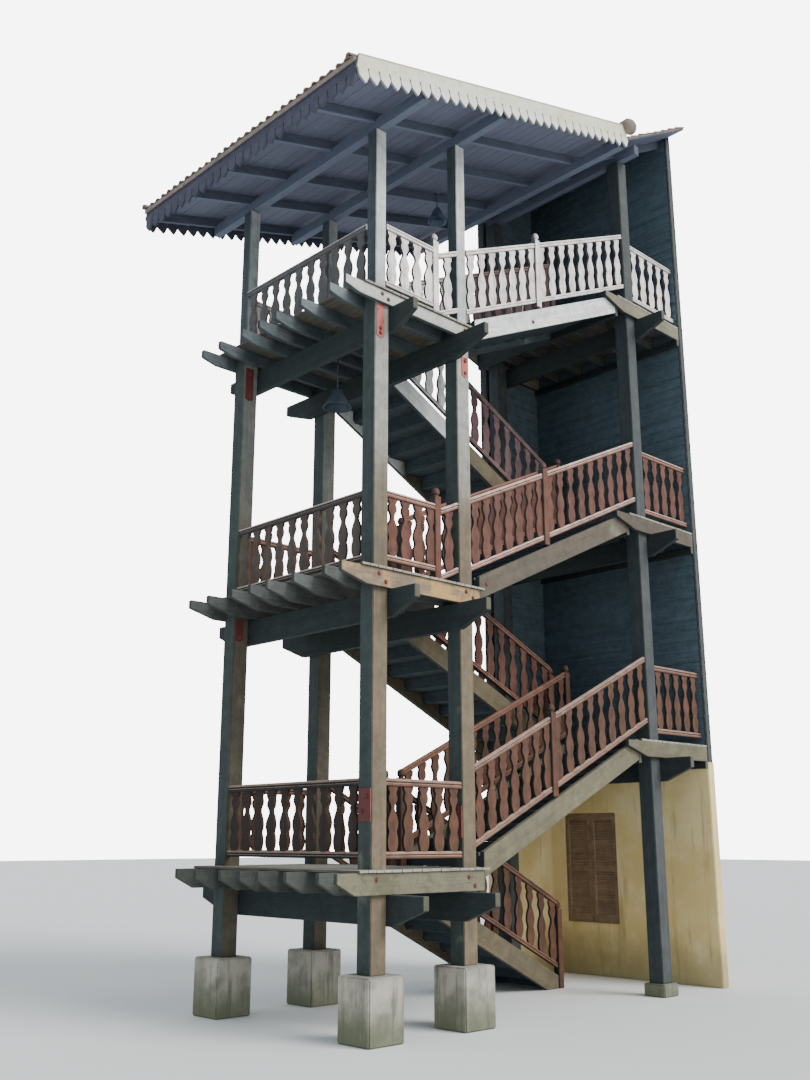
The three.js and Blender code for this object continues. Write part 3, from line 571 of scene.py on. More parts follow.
# The inner joists are darker than the edge joists, painted shade under the boards, and their tips past the
# outer beam are paler, painted light. Higher storeys are paler, weathering and painted hazy light both.
inner_timbers = [timber(f"inner_joist_timber_{n + 1}", 0, shade, sun, near_face_share=0.8,
                        fade=(tip, -CORNER.x, -CORNER.x + 0.3, AWAY))
                 for n, (shade, sun, tip) in enumerate((
                     ("363b39", "4c4d48", "5a5c56"), ("363b39", "565854", "6c6f6c"),
                     ("3c464b", "474f53", "868c8d")))]
edge_timbers = (timber("edge_joist_timber_1", 0, "3a3b34", "857e68", patch="5f5c48"),
                timber("edge_joist_timber_2", 0, "3b3a36", "94806a", patch="c49a60"),
                timber("edge_joist_timber_3", 0, "40484c", "d8d7cf", patch="b3b0a0"))
for storey, top in enumerate(LEVELS):
    node = f"landing_{storey + 1}"
    depth = (0.205, 0.185, 0.145)[storey]
    bevel = (0.22, 0.34, 0.2)[storey]
    outline = ((-0.47, top), (-0.47, top - 0.095), (-0.47 + bevel, top - depth), (1.54, top - depth),
               (1.54, top))
    tones = random.Random(storey)
    joists = fresh()
    for y in JOIST_PLACES:
        prism(joists, outline, 1, y, y + JOIST, 0.005, tones.uniform(-0.4, 0.4))
    built(f"joists_{storey + 1}", joists, inner_timbers[storey], "dark_timber", node)
    edge_joist = fresh()
    prism(edge_joist, outline, 1, NEAR_JOIST, NEAR_JOIST + JOIST, 0.005)
    built(f"edge_joist_{storey + 1}", edge_joist, edge_timbers[storey], "dark_timber", node)
    beams = fresh()
    for x, past in zip((POST + GAP, 1.2027), ((0.505, 0.5), (0.4, 0.455), (0.385, 0.505))[storey]):
        high, low = top - depth, top - depth - 0.29
        outline = ((-past, high), (-past, high - 0.13), (-0.06, low), (FAR_FACE + 0.06, low),
                   (FAR_FACE + past, high - 0.13), (FAR_FACE + past, high))
        prism(beams, outline, 0, x, x + 0.075, 0.006)
    built(f"beams_{storey + 1}", beams, beam_timber, "dark_timber", node)
    if storey < 2:
        edges, counts, stops = (-0.001, 0.201, 1.277), (2, 2, 8, 2, 1), ROUND_POSTS
    else:
        edges, counts, stops = (0.024, 0.176, 1.327), (2, 1, 9, 1, 1), (0.022, 0.178, 2.416, 2.572)
    edges = (-0.22, *edges, 1.479, LANDING_EDGE - GAP)
    strips = zip(edges, edges[1:], counts, ((), stops, (), stops, ()))
    lay_boards(f"landing_boards_{storey + 1}", node, top, strips, (NEAR_JOIST - 0.025, FAR_END + 0.025),
               100 * storey)


# Flights
# Closed strings on both sides hold the treads, and a thin riser closes the back of each tread. It
# reaches down behind the tread. The strings' near faces are bleached and painted light both, the
# highest ones nearly white. In the top flights the outer string is near white and the inner string
# dark, and the far string is near white by the landing and brown towards the gallery: painted light
# and painted shade.

RUN = 2.9
GOING = RUN / 9
WIDTH = 1.2
STRING, STRING_DEPTH = 0.06, 0.26
TREAD, RISER = 0.04, 0.018
tread_timber = timber("tread_timber", 1, "364045", "646159", tops=0.7)


def flight(name, height, place, string_timber, turn=0.0, on_ground=False):
    """A flight built from its lowest riser, then turned and set down in its place."""
    rise = height / 10
    slope = rise / GOING

    def nosing(x):
        return rise + slope * x

    foot = ((0, 0), ((STRING_DEPTH - rise) / slope, 0)) if on_ground else ((0, nosing(0) - STRING_DEPTH),)
    outline = ((0, nosing(0) + 0.005), *foot, (RUN - GAP, nosing(RUN) - STRING_DEPTH),
               (RUN - GAP, nosing(RUN) - 0.001), (2.87, nosing(2.87) + 0.005))
    strings = fresh()
    prism(strings, outline, 1, GAP, STRING, 0.005)
    prism(strings, outline, 1, WIDTH - STRING, WIDTH - GAP, 0.005, 0.2)
    across = (1, STRING - 0.001, WIDTH - STRING + 0.001)
    under = rise - TREAD - 0.001
    steps = fresh()
    tread = fresh()
    prism(tread, oblong(-0.022, rise - TREAD, GOING - 0.002, rise), *across, 0.006)
    add_row(steps, tread, tread_timber, 9, (GOING, 0, rise), 11, uneven=(0.001, 0, 0.001))
    riser = fresh()
    prism(riser, oblong(GOING, rise - 0.014, GOING + RISER, rise + under), *across)
    add_row(steps, riser, tread_timber, 8, (GOING, 0, rise), 12)
    prism(steps, oblong(0, 0.001, RISER, under), *across)
    seat = Matrix.Translation(place) @ Matrix.Rotation(turn, 4, "Z")
    for kind, build, finish in (("strings", strings, string_timber), ("steps", steps, tread_timber)):
        bmesh.ops.transform(build, matrix=seat, verts=build.verts)
        built(f"{name}_{kind}", build, finish, "dark_timber", name)


GALLERY_EDGE = LANDING_EDGE + RUN
LANDING_FLOORS = [level + BOARD for level in LEVELS]
GALLERY_LEVELS = (3.025, 5.975, 9.133)
GALLERY_FLOORS = [level + BOARD for level in GALLERY_LEVELS]
LOWER_FLOORS = [0.0, *GALLERY_FLOORS[:2]]
MIDDLING_RISE = 0.1505
PITCH = math.atan(MIDDLING_RISE / GOING)
string_suns = ("777058", "64594b", "857e68")
near_suns = (*string_suns[:2], "465054")
# Along X, where the top storey's far string and stair well turn from painted light to painted shade.
PAINTED_LIGHT_UNTIL = CORNER.x + 2.62
PAINTED_SHADE_FROM = CORNER.x + 2.93
for storey in range(3):
    low, high, below = LANDING_FLOORS[storey], GALLERY_FLOORS[storey], LOWER_FLOORS[storey]
    near_fade = far_fade = None
    # Top flight: the outer string is painted light near white, the inner string keeps a dark painted shade,
    # and the far string turns from painted light to painted shade along X.
    if storey == 2:
        near_fade = ("f2f3ec", -CORNER.y - 0.9, -CORNER.y - 0.3, NEARWARD)
        far_fade = ("f2f4ee", -PAINTED_SHADE_FROM, -PAINTED_LIGHT_UNTIL, AWAY)
    near_timber = timber(f"near_string_timber_{storey + 1}", 0, "363d3e", near_suns[storey],
                         lichen=0.3, fade=near_fade, tilt=PITCH)
    far_timber = timber(f"far_string_timber_{storey + 1}", 0, "363d3e", "6e624a",
                        lichen=0.2, fade=far_fade, tilt=-PITCH)
    flight(f"near_flight_{storey + 1}", high - low, (LANDING_EDGE, 0, low), near_timber)
    flight(f"far_flight_{storey + 1}", low - below, (GALLERY_EDGE, FAR_FACE, below), far_timber, math.pi,
           storey == 0)


# Balustrades
# Flat sawn balusters stand between two moulded rails. Square newels with turned knobs hold them on
# the stairs. The red-brown stain is pinkish white at the top, bleaching and painted hazy light both,
# and the rails' tops carry a painted highlight.

# The share of the height between the rails, and half the baluster's width there in millimetres.
BALUSTER = ((0, 30), (0.06, 40), (0.105, 56), (0.15, 66), (0.197, 70), (0.243, 68), (0.289, 60),
            (0.335, 49), (0.372, 55), (0.409, 65), (0.455, 70), (0.5, 66), (0.547, 57), (0.593, 43),
            (0.63, 29), (0.667, 23), (0.704, 25), (0.74, 37), (0.777, 53), (0.814, 58), (0.851, 52),
            (0.888, 43), (0.915, 52), (0.943, 63), (1, 65))
HALF_RAIL = ((0.01, 0), (0.026, -0.008), (0.0325, -0.024), (0.0325, -0.03), (0.023, -0.036),
             (0.023, -0.042), (0.0325, -0.048), (0.0325, -0.067), (0.024, -0.075))
TOP_RAIL = [*HALF_RAIL, *[(-across, up) for across, up in reversed(HALF_RAIL)]]
BOTTOM_RAIL = [(across * 0.85, up * 0.9) for across, up in TOP_RAIL]
# How high the bottom rail, and the top rails of landings, flights and galleries, stand.
LOW_RAIL, FLOOR_RAIL, STAIR_RAIL, GALLERY_RAIL = 0.165, 0.865, 0.95, 0.98
NEWEL = 0.046
KNOB = ((0.036, 0.95), (0.032, 0.962), (0.034, 0.972), (0.045, 0.982), (0.048, 1.0), (0.044, 1.028),
        (0.028, 1.05), (0.004, 1.056))


def turned(build, x, y, z, profile, sides, hollow=False):
    """A shape turned about an upright axis, from (radius, height) pairs. It is capped at both ends,
    or a hollow one closes from its last pair to its first."""
    circle = [(math.cos(math.tau * i / sides), math.sin(math.tau * i / sides)) for i in range(sides)]
    rings = [[build.verts.new((x + r * across, y + r * along, z + up)) for across, along in circle]
             for r, up in profile]
    faces = [] if hollow else [build.faces.new(rings[0]), build.faces.new(rings[-1])]
    for lower, upper in zip(rings, rings[1:] + (rings[:1] if hollow else [])):
        faces += [build.faces.new((lower[i - 1], lower[i], upper[i], upper[i - 1])) for i in range(sides)]
    bmesh.ops.recalc_face_normals(build, faces=faces)


def height_on(line, x):
    """The height of a line at a place along X. A line is its height at 0 and its slope."""
    return line[0] + line[1] * x


class Rail:
    """The parts of one node's balustrades, as they are put together."""

    def __init__(self, upright_finish):
        self.upright_finish = upright_finish
        self.rails = fresh()
        self.uprights = fresh()

    def sweep(self, section, start, end, top):
        """A moulding from start to end, its own top at that height above them."""
        along = (end - start).normalized()
        side = Vector((along.y, -along.x, 0)).normalized()
        bar(self.rails, *[[place + side * across + Vector((0, 0, top + up)) for across, up in section]
                          for place in (start, end)])

    def panel(self, start, end, top, seed, bottom=LOW_RAIL, pitch=0.215):
        """Balusters between two rails, from start to end along the floor or the line of nosings."""
        start, end = Vector(start), Vector(end)
        plan = Vector((end.x - start.x, end.y - start.y, 0))
        count = round(plan.length / pitch)
        step = (end - start) / count
        low, high = bottom - 0.045, top - 0.06
        side = [(width / 1000, low + (high - low) * share) for share, width in BALUSTER]
        outline = side + [(-width, up) for width, up in reversed(side)]
        unit = fresh()
        prism(unit, outline, 1, -0.015, 0.015)
        turn = Matrix.Rotation(math.atan2(plan.y, plan.x), 4, "Z")
        bmesh.ops.transform(unit, matrix=Matrix.Translation(start + step / 2) @ turn, verts=unit.verts)
        add_row(self.uprights, unit, self.upright_finish, count, step, seed, uneven=(0.001, 0.001, 0.002))
        self.sweep(TOP_RAIL, start, end, top)
        self.sweep(BOTTOM_RAIL, start, end, bottom)

    def run(self, y, start, end, line, top, seed, **sizes):
        """A panel along X, on a line."""
        self.panel(*[(x, y, height_on(line, x)) for x in (start, end)], top, seed, **sizes)

    def newel(self, x, y, floor):
        """A square newel with a neck and a domed knob."""
        prism(self.uprights, oblong(x - NEWEL, y - NEWEL, x + NEWEL, y + NEWEL), 2, floor, floor + 0.955,
              0.006, 0.15)
        turned(self.uprights, x, y, floor, KNOB, 14)

    def fixed(self, node, rail_finish, slot):
        built(f"{node}_mouldings", self.rails, rail_finish, slot, node)
        built(f"{node}_uprights", self.uprights, self.upright_finish, slot, node)


# By storey: the colours out of the sun of all rails and of the side's balusters, in the sun of
# balusters and rails, the painted highlight on the rails' tops, and in the sun of the stair well's
# balusters and rails. They grow paler storey by storey, bleaching and painted hazy light both, and
# the top storey's stair well colours are darker, painted shade.
RAIL_COLOURS = (("262726", "2e2522", "60402f", "7d5947", "a98f80", "60402f", "7d5947"),
                ("3d3838", "4d4640", "694335", "966b59", "e6cdc0", "694335", "966b59"),
                ("5c5a5c", "565758", "7b5a52", "a37e70", "fff6f0", "674a4a", "856862"))
NEAR_LINE = 0.04
FAR_LINE = FAR_FACE - NEAR_LINE
PAST_POST = RIGHT_POST + POST + GAP
GALLERY_POST = 4.755
AT_GALLERY_POST = GALLERY_POST - GAP
PAST_GALLERY_POST = GALLERY_POST + POST + GAP
AT_WALL = 6.0 - GAP
FRONT_NEWEL, FRONT_NEXT, CLIMB_NEWEL = 0.96, 1.009, 2.83
WELL_X, WELL_END = 1.5, 4.56
WELL_LINES = (1.16, 1.434)
for storey, (shade, side_shade, sun, stain, painted_highlight, well_sun, well_stain) in enumerate(RAIL_COLOURS):
    n = storey + 1
    floor, high, below = LANDING_FLOORS[storey], GALLERY_FLOORS[storey], LOWER_FLOORS[storey]
    up, down = (high - floor) / RUN * 0.9, (floor - below) / RUN * 0.9
    level = (floor, 0)
    climbing = (floor + up * (GOING - LANDING_EDGE), up)
    dropping = (below + down * (GOING + GALLERY_EDGE), -down)
    upright_fade = rail_fade = well_fade = None
    # The top storey's balusters and rails turn near white towards the top, bleaching and painted hazy light
    # both; its stair well turns from painted light by the landing to painted shade towards the gallery.
    if storey == 2:
        upright_fade, rail_fade = ("fdf0ea", 6.7, 7.4, UP), ("fdf2ec", 6.7, 7.4, UP)
        well_fade = ("f0eee8", -PAINTED_SHADE_FROM, -PAINTED_LIGHT_UNTIL, AWAY)
    baluster_wood = timber(f"baluster_wood_{n}", 2, shade, sun, fade=upright_fade, lively=1.5)
    side_wood = timber(f"side_baluster_wood_{n}", 2, side_shade, sun, near_face_share=0.5)
    rail_wood = timber(f"rail_wood_{n}", 0, shade, stain, tops=0.9, fade=rail_fade, lively=1.3, painted_highlight=painted_highlight)
    well_uprights = timber(f"well_baluster_wood_{n}", 2, shade, well_sun, fade=well_fade, lively=1.5)
    well_rails = timber(f"well_rail_wood_{n}", 0, shade, well_stain, tops=0.9, fade=well_fade, lively=1.3,
                        painted_highlight=stain)
    cross_wood = timber(f"cross_rail_wood_{n}", 1, shade, stain, tops=0.8, fade=rail_fade, painted_highlight=painted_highlight)
    slot = "pale_timber" if storey == 2 else "red_timber"
    inset = 0.175 if storey == 2 else 0.2
    inner_x = 1.328 if storey == 2 else RIGHT_POST

    front = Rail(baluster_wood)
    if storey == 0:
        front.run(NEAR_LINE, inset, inner_x, level, FLOOR_RAIL, 21)
    else:
        front.run(NEAR_LINE, inset, FRONT_NEWEL, level, FLOOR_RAIL, 22 + storey)
        front.newel(FRONT_NEWEL, 0.052, floor)
        front.run(NEAR_LINE, FRONT_NEXT, inner_x, climbing, STAIR_RAIL, 25, bottom=0.205)
    front.fixed(f"front_rail_{n}", rail_wood, slot)

    side = Rail(side_wood)
    side.panel((NEAR_LINE, inset, floor), (NEAR_LINE, FAR_FACE - inset, floor), FLOOR_RAIL, 31 + storey)
    side.fixed(f"side_rail_{n}", cross_wood, slot)

    back = Rail(baluster_wood)
    back.run(FAR_LINE, inset, inner_x, level, FLOOR_RAIL, 34 + storey)
    back.fixed(f"back_rail_{n}", rail_wood, slot)

    climb = Rail(baluster_wood)
    climb.run(NEAR_LINE, PAST_POST, CLIMB_NEWEL, climbing, STAIR_RAIL, 37 + storey, pitch=0.19)
    climb.run(NEAR_LINE, CLIMB_NEWEL, AT_GALLERY_POST, climbing, STAIR_RAIL, 57 + storey)
    climb.newel(CLIMB_NEWEL, NEAR_LINE, height_on(climbing, 2.88) + 0.0053)
    climb.fixed(f"near_flight_rail_{n}", rail_wood, slot)

    drop = Rail(baluster_wood)
    end = WELL_END if storey == 0 else AT_GALLERY_POST
    drop.run(FAR_LINE, PAST_POST, end, dropping, STAIR_RAIL, 41 + storey)
    if storey == 0:
        drop.newel(end, FAR_LINE, 0.0)
    drop.fixed(f"far_flight_rail_{n}", rail_wood, slot)

    well = Rail(well_uprights)
    for y, line, seed in zip(WELL_LINES, (climbing, dropping), (44, 47)):
        well.run(y, WELL_X, WELL_END, line, STAIR_RAIL, seed + storey)
    for section, top in ((TOP_RAIL, FLOOR_RAIL), (BOTTOM_RAIL, LOW_RAIL)):
        well.sweep(section, *[Vector((WELL_X, y, floor)) for y in WELL_LINES], top)
    for x, ends in ((WELL_X, (floor, floor)), (WELL_END, (high, below))):
        for y, foot in zip(WELL_LINES, ends):
            well.newel(x, y, foot + GAP)
    well.fixed(f"well_rail_{n}", well_rails, slot)

    end_rail = Rail(baluster_wood)
    end_rail.run(NEAR_LINE, PAST_GALLERY_POST, AT_WALL, (high, 0), GALLERY_RAIL, 51 + storey)
    end_rail.fixed(f"gallery_end_rail_{n}", rail_wood, slot)

edge_rail = Rail(baluster_wood)
edge_rail.panel((WELL_END, 1.2103, GALLERY_FLOORS[2]), (WELL_END, FAR_LINE, GALLERY_FLOORS[2]),
                GALLERY_RAIL, 55)
edge_rail.fixed("top_gallery_rail", cross_wood, "pale_timber")


# Galleries
# The house's own floors. Joists run from a trimmer at the stairs to a ledger on the wall, and
# boards lie across them. The outer joists run on past the gallery post to a tapered tip.

gallery_timbers = [timber(f"gallery_timber_{n + 1}", 0, "2a2f33", string_suns[n], lichen=0.2)
                   for n in range(3)]
for storey, top in enumerate(GALLERY_LEVELS):
    node = f"gallery_{storey + 1}"
    outer_joists = fresh()
    low = top - 0.19
    outline = ((4.22, top), (4.22, top - 0.075), (4.62, low), (AT_WALL, low), (AT_WALL, top))
    for y in (NEAR_JOIST, FAR_JOIST):
        prism(outer_joists, outline, 1, y, y + JOIST, 0.005)
    built(f"gallery_edge_joists_{storey + 1}", outer_joists, gallery_timbers[storey], "dark_timber", node)
    joists = fresh()
    for i in range(1, 6):
        y = NEAR_JOIST + i * (FAR_JOIST - NEAR_JOIST) / 6
        prism(joists, oblong(4.53, low, AT_WALL, top), 1, y, y + JOIST, 0.005,
              random.Random(60 + i).uniform(-0.3, 0.3))
    built(f"gallery_joists_{storey + 1}", joists, inner_timbers[0], "dark_timber", node)
    beams = fresh()
    start = GALLERY_EDGE + GAP
    prism(beams, oblong(GAP, top - 0.27, FAR_FACE - GAP, top), 0, start, start + JOIST, 0.005)
    prism(beams, ((-0.45, top - 0.189), (-0.45, top - 0.32), (-0.06, top - 0.48), (FAR_END, top - 0.48),
                  (FAR_END, top - 0.189)), 0, PAST_GALLERY_POST, PAST_GALLERY_POST + 0.075, 0.006)
    prism(beams, oblong(NEAR_JOIST, top - 0.28, FAR_END, low), 0, AT_WALL - JOIST, AT_WALL, 0.005)
    built(f"gallery_beams_{storey + 1}", beams, beam_timber, "dark_timber", node)
    strips = ((start, 4.754, 2, ()), (4.754, 4.956, 2, ROUND_POSTS), (4.956, AT_WALL, 8, ()))
    lay_boards(f"gallery_boards_{storey + 1}", node, top, strips, (NEAR_JOIST, FAR_END), 400 + 100 * storey)


# Walls
# The ground floor's walls are plastered brick, limewashed yellow. The upper walls are lapped
# boards on studs, grey in the weather; the boards facing the stairs are paler and bluer, painted
# hazy light in their shade. Two louvred shutters close the window by the stair's foot.

def limewash():
    f = Finish("yellow_limewash")
    cloud = f.noise(1.6)
    grit = f.noise(45, detail=5)
    runs = f.noise(1.0, (9, 9, 0.7))
    damp = 1 - f.between(f.height() + (cloud - 0.5) * 0.5, 0.1, 0.75)
    colour = f.mix(f.between(cloud, 0.35, 0.65), "e6cc8c", "f4e0aa")
    colour = f.mix(f.between(runs, 0.54, 0.72) * 0.45, colour, "8a7450")
    colour = f.mix(damp * 0.6, colour, "6f6a4d")
    return f.surface(colour, 0.9, grit * 0.5 + cloud, 0.005, specular=0.2)


eased("ground_wall", "plastered_wall", 0.01, limewash(), "plaster")

louvre_brown = timber("louvre_brown", 1, "8c745c", "9a8068", cracks=0.1)
STILE = 0.06
SILL, HEAD = 0.7 + GAP, 2.2 - GAP
LEAF = (0, 6.02, 6.06, 0.003)
shutter = fresh()
for leaf in range(2):
    y0 = 1.503 + leaf * 0.4485
    y1 = y0 + 0.4455
    for low, high in ((SILL, 0.81), (1.39, 1.47), (2.11, HEAD)):
        prism(shutter, oblong(y0 + STILE, low, y1 - STILE, high), *LEAF)
    for y in (y0, y1 - STILE):
        prism(shutter, oblong(y, SILL, y + STILE, HEAD), *LEAF)
    for start, count in ((0.812, 17), (1.472, 19)):
        slat = fresh()
        prism(slat, ((6.022, start), (6.026, start - 0.006), (6.058, start + 0.028),
                     (6.054, start + 0.034)), 1, y0 + STILE - 0.002, y1 - STILE + 0.002)
        add_row(shutter, slat, louvre_brown, count, (0, 0, 0.035), 60 + leaf, uneven=(0.0005, 0, 0.0015))
built("shutters", shutter, louvre_brown, "louvre_timber", "ground_shutters")

EAVE, TURN = -0.94, 3.91
LEAN, STEEP = 0.313, 0.6
UNDER_BOARDS = 0.0903


def roof_top(x):
    """The height of the roofs' top over a place along X. The steeper roof starts at TURN."""
    return 9.695 + (min(x, TURN) - EAVE) * LEAN + max(x - TURN, 0) * STEEP


# The boards facing the stairs: their pale blue-grey shade colour is painted hazy light.
wall_wood = timber("lapped_board_wood_y", 1, "4e5f69", "8d8c80", near_face_share=0.8)
end_wood = timber("lapped_board_wood_x", 0, "4e5f69", "68757a", near_face_share=0.7)
outer_wood = timber("outer_board_wood_y", 1, "4c4b47", "8d8c80", near_face_share=0.8)
outer_end_wood = timber("outer_board_wood_x", 0, "4c4b47", "8d8c80", near_face_share=0.8)
FOOT = 2.8353
LAP = 0.15
core = fresh()
prism(core, ((6.02, FOOT), (6.1, FOOT), (6.1, roof_top(6.1) - 0.1), (6.02, roof_top(6.02) - 0.1)),
      1, -0.036, 2.7706)
prism(core, ((4.775, FOOT), (6.02, FOOT), (6.02, roof_top(6.02) - 0.1), (4.775, roof_top(4.775) - 0.1)),
      1, 2.6706, 2.7506)
built("wall_core", core, end_wood, "clapboard", "upper_wall")


def roof_trimmed(build):
    """Cuts off what stands above the underside of the roof boards."""
    bmesh.ops.bisect_plane(
        build, geom=[*build.verts, *build.edges, *build.faces], dist=1e-6,
        plane_co=(TURN, 0, roof_top(TURN) - UNDER_BOARDS), plane_no=(-STEEP, 0, 1), clear_outer=True)
    open_edges = [e for e in build.edges if e.is_boundary]
    bmesh.ops.holes_fill(build, edges=open_edges)


for name, wood, axis, start, end, back, front, under, seed in (
        ("house_wall_boards", wall_wood, 1, NEAR_JOIST, 2.6703, 6.02, 6.0, 6.0, 71),
        ("house_wall_back_boards", outer_wood, 1, NEAR_JOIST, 2.7703, 6.1, 6.12, 6.0, 71),
        ("party_wall_boards", end_wood, 0, 4.755, 6.0, 2.6706, 2.6506, 6.1, 73),
        ("party_wall_back_boards", outer_end_wood, 0, 4.755, 6.12, 2.7506, 2.7706, 6.1, 73)):
    unit = fresh()
    head = back + (front - back) * 0.45
    prism(unit, ((back, FOOT), (front, FOOT), (head, FOOT + 0.165), (back, FOOT + 0.165)), axis, start, end)
    count = math.ceil((roof_top(under) - 0.1 - FOOT) / LAP)
    cladding = fresh()
    add_row(cladding, unit, wood, count, (0, 0, LAP), seed, uneven=(0, 0, 0.0015))
    roof_trimmed(cladding)
    built(name, cladding, wood, "clapboard", "upper_wall")
corner_boards = fresh()
for x0, x1, y0, y1 in ((6.0, 6.12, NEAR_JOIST, -0.034), (4.752, 4.775, FAR_END + GAP, 2.7706)):
    prism(corner_boards, oblong(x0, y0, x1, y1), 2, FOOT, roof_top(x0) - UNDER_BOARDS - GAP, 0.003)
built("corner_boards", corner_boards, dark_grain, "clapboard", "upper_wall")


# Roof frame and boarding
# Rafters rest on four plates, one over each pair of posts and one under the joint of the two roofs.
# Boards lie across the rafters, and the tiles on the boards. All of it is stained a dark blue-grey, the
# blue partly painted hazy skylight, and its near faces are darker, painted shade.

# The near-face colours here are darker than the shade colours: painted shade.
rafter_wood = timber("rafter_wood", 0, "666d80", "3f454f", near_face_share=0.7, tops=0, lively=0.3)
plate_wood = timber("roof_plate_wood", 1, "626a7c", "3f454f", near_face_share=0.7, tops=0, lively=0.3)
soffit_wood = timber("soffit_wood", 1, "676b7e", "3f424b", near_face_share=0.8, tops=0, lively=0.25)
INNER_RAFTERS = (0.1, 0.86467, 1.72933, 2.494)
rafters = fresh()
for x0, x1, places in ((EAVE + GAP, TURN - 0.001, (-0.676, *INNER_RAFTERS, 3.27)),
                       (TURN - 0.001, AT_WALL, INNER_RAFTERS)):
    low, high = roof_top(x0) - UNDER_BOARDS, roof_top(x1) - UNDER_BOARDS
    for y in places:
        prism(rafters, ((x0, low - 0.12), (x1, high - 0.12), (x1, high), (x0, low)),
              1, y - 0.0275, y + 0.0275, 0.004)
built("rafters", rafters, rafter_wood, "dark_timber", "roof_frame")
plates = fresh()
for x, y0, y1 in ((0.1, -0.706, 3.3), (1.403, -0.706, 3.3), (TURN - 0.1, -0.706, 3.3),
                  (4.855, -0.27, FAR_END)):
    low = roof_top(x) - UNDER_BOARDS - 0.25
    prism(plates, oblong(x - 0.05, y0, x + 0.05, y1), 2, low, low + 0.15, 0.005)
built("roof_plates", plates, plate_wood, "dark_timber", "roof_frame")

# Each roof's edges, slope, number of boards and number of tile courses.
ROOFS = (("tower_roof", -0.985, TURN - GAP, -0.7357, 3.3297, LEAN, 31, 23),
         ("main_roof", TURN + GAP, 6.15, -0.3, 2.7706, STEEP, 13, 11))
for name, x0, x1, y0, y1, slope, count, _ in ROOFS:
    step = (x1 - x0) / count
    soffit = fresh()
    unit = fresh()
    low = roof_top(x0) - 0.09
    prism(unit, ((x0 + 0.002, low), (x0 + step - 0.002, low + slope * step),
                 (x0 + step - 0.002, low + 0.022 + slope * step), (x0 + 0.002, low + 0.022)), 1, y0, y1)
    add_row(soffit, unit, soffit_wood, count, (step, 0, step * slope), 81, uneven=(0, 0, 0.0015))
    built(f"{name}_boards", soffit, soffit_wood, "dark_timber", name)


# Tiles
# Small S-shaped clay tiles in courses up the slope, each head under the foot of the one above.
# Half-round tiles cover the joint between the roofs and both verges. All are mossy brown-grey.

def baked_clay():
    f = Finish("mossy_clay")
    cloud = f.noise(1.8)
    blotch = f.noise(14)
    grit = f.noise(110, detail=3)
    tone = f.node("ShaderNodeAttribute", {"attribute_name": "tone"}, out="Fac")
    colour = f.mix(f.between(tone + (blotch - 0.5), -0.4, 0.4), "776a62", "9c8d83")
    colour = f.mix(f.between(cloud, 0.5, 0.66) * 0.6, colour, "5f5d50")
    colour = f.mix(f.between(blotch, 0.58, 0.72) * 0.55, colour, "9a9a86")
    return f.surface(colour, 0.85 + grit * 0.12, grit * 0.5 + blotch, 0.004, specular=0.25)


clay = baked_clay()
WAVE = ((-0.073, 0.004), (-0.05, -0.006), (-0.026, -0.004), (-0.006, 0.006), (0.018, 0.019),
        (0.042, 0.022), (0.062, 0.014), (0.073, 0.004))


def shell(lines, place):
    """A tile between four lines, those of its foot's top and bottom and its head's top and bottom.
    It is drawn at the origin and set down in its place."""
    unit = fresh()
    foot_top, foot_bottom, head_top, head_bottom = [
        [unit.verts.new(place @ Vector(corner)) for corner in line] for line in lines]
    for first, second in ((foot_top, head_top), (head_top, head_bottom), (head_bottom, foot_bottom),
                          (foot_bottom, foot_top)):
        for i in range(len(first) - 1):
            unit.faces.new((first[i], first[i + 1], second[i + 1], second[i]))
    for i in (0, -1):
        unit.faces.new((foot_top[i], head_top[i], head_bottom[i], foot_bottom[i]))
    bmesh.ops.recalc_face_normals(unit, faces=unit.faces)
    return unit


def tile(place):
    """One S-shaped tile, from its foot along X."""
    return shell([[(along, across, lift + up) for across, up in WAVE]
                  for along, lift in ((0, 0.026), (0, 0.014), (0.29, 0.004), (0.29, -0.008))], place)


def half_round(place, length, foot, head, thickness):
    """A half-round tile, from its foot's radius to its head's along Y."""
    arc = [(math.cos(math.pi * i / 10), math.sin(math.pi * i / 10)) for i in range(11)]
    return shell([[(r * across, along, r * up) for across, up in arc]
                  for along, r in ((0, foot), (0, foot - thickness), (length, head),
                                   (length, head - thickness))], place)


for name, x0, x1, y0, y1, slope, _, courses in ROOFS:
    low, high = roof_top(x0), roof_top(x1)
    outline = [(x1, high - 0.067), (x1, high - 0.04), (x0, low - 0.04), (x0, low - 0.067)]
    if name == "tower_roof":
        outline[2:3] = [(x0 - 0.008, low - 0.04), (x0 - 0.008, low - 0.094), (x0, low - 0.094)]
    bed = fresh()
    prism(bed, outline, 1, y0 + 0.003, y1 - 0.003)
    built(f"{name}_tile_bed", bed, clay, "clay_tile", name)
    across = round((y1 - y0) / 0.135)
    wide = (y1 - y0) / across
    step = (x1 - x0 - 0.02) / courses
    covering = fresh()
    unit = tile(Matrix.Translation((x0 - 0.012, y0 + wide / 2, low - 0.052))
                @ Matrix.Rotation(-math.atan(slope), 4, "Y"))
    add_row(covering, unit, clay, across, (0, wide, 0), 91, courses, (step, 0, step * slope),
            uneven=(0.006, 0.002, 0.001), lean=(0.03, 0.008, 0.02))
    built(f"{name}_tiles", covering, clay, "clay_tile", name)

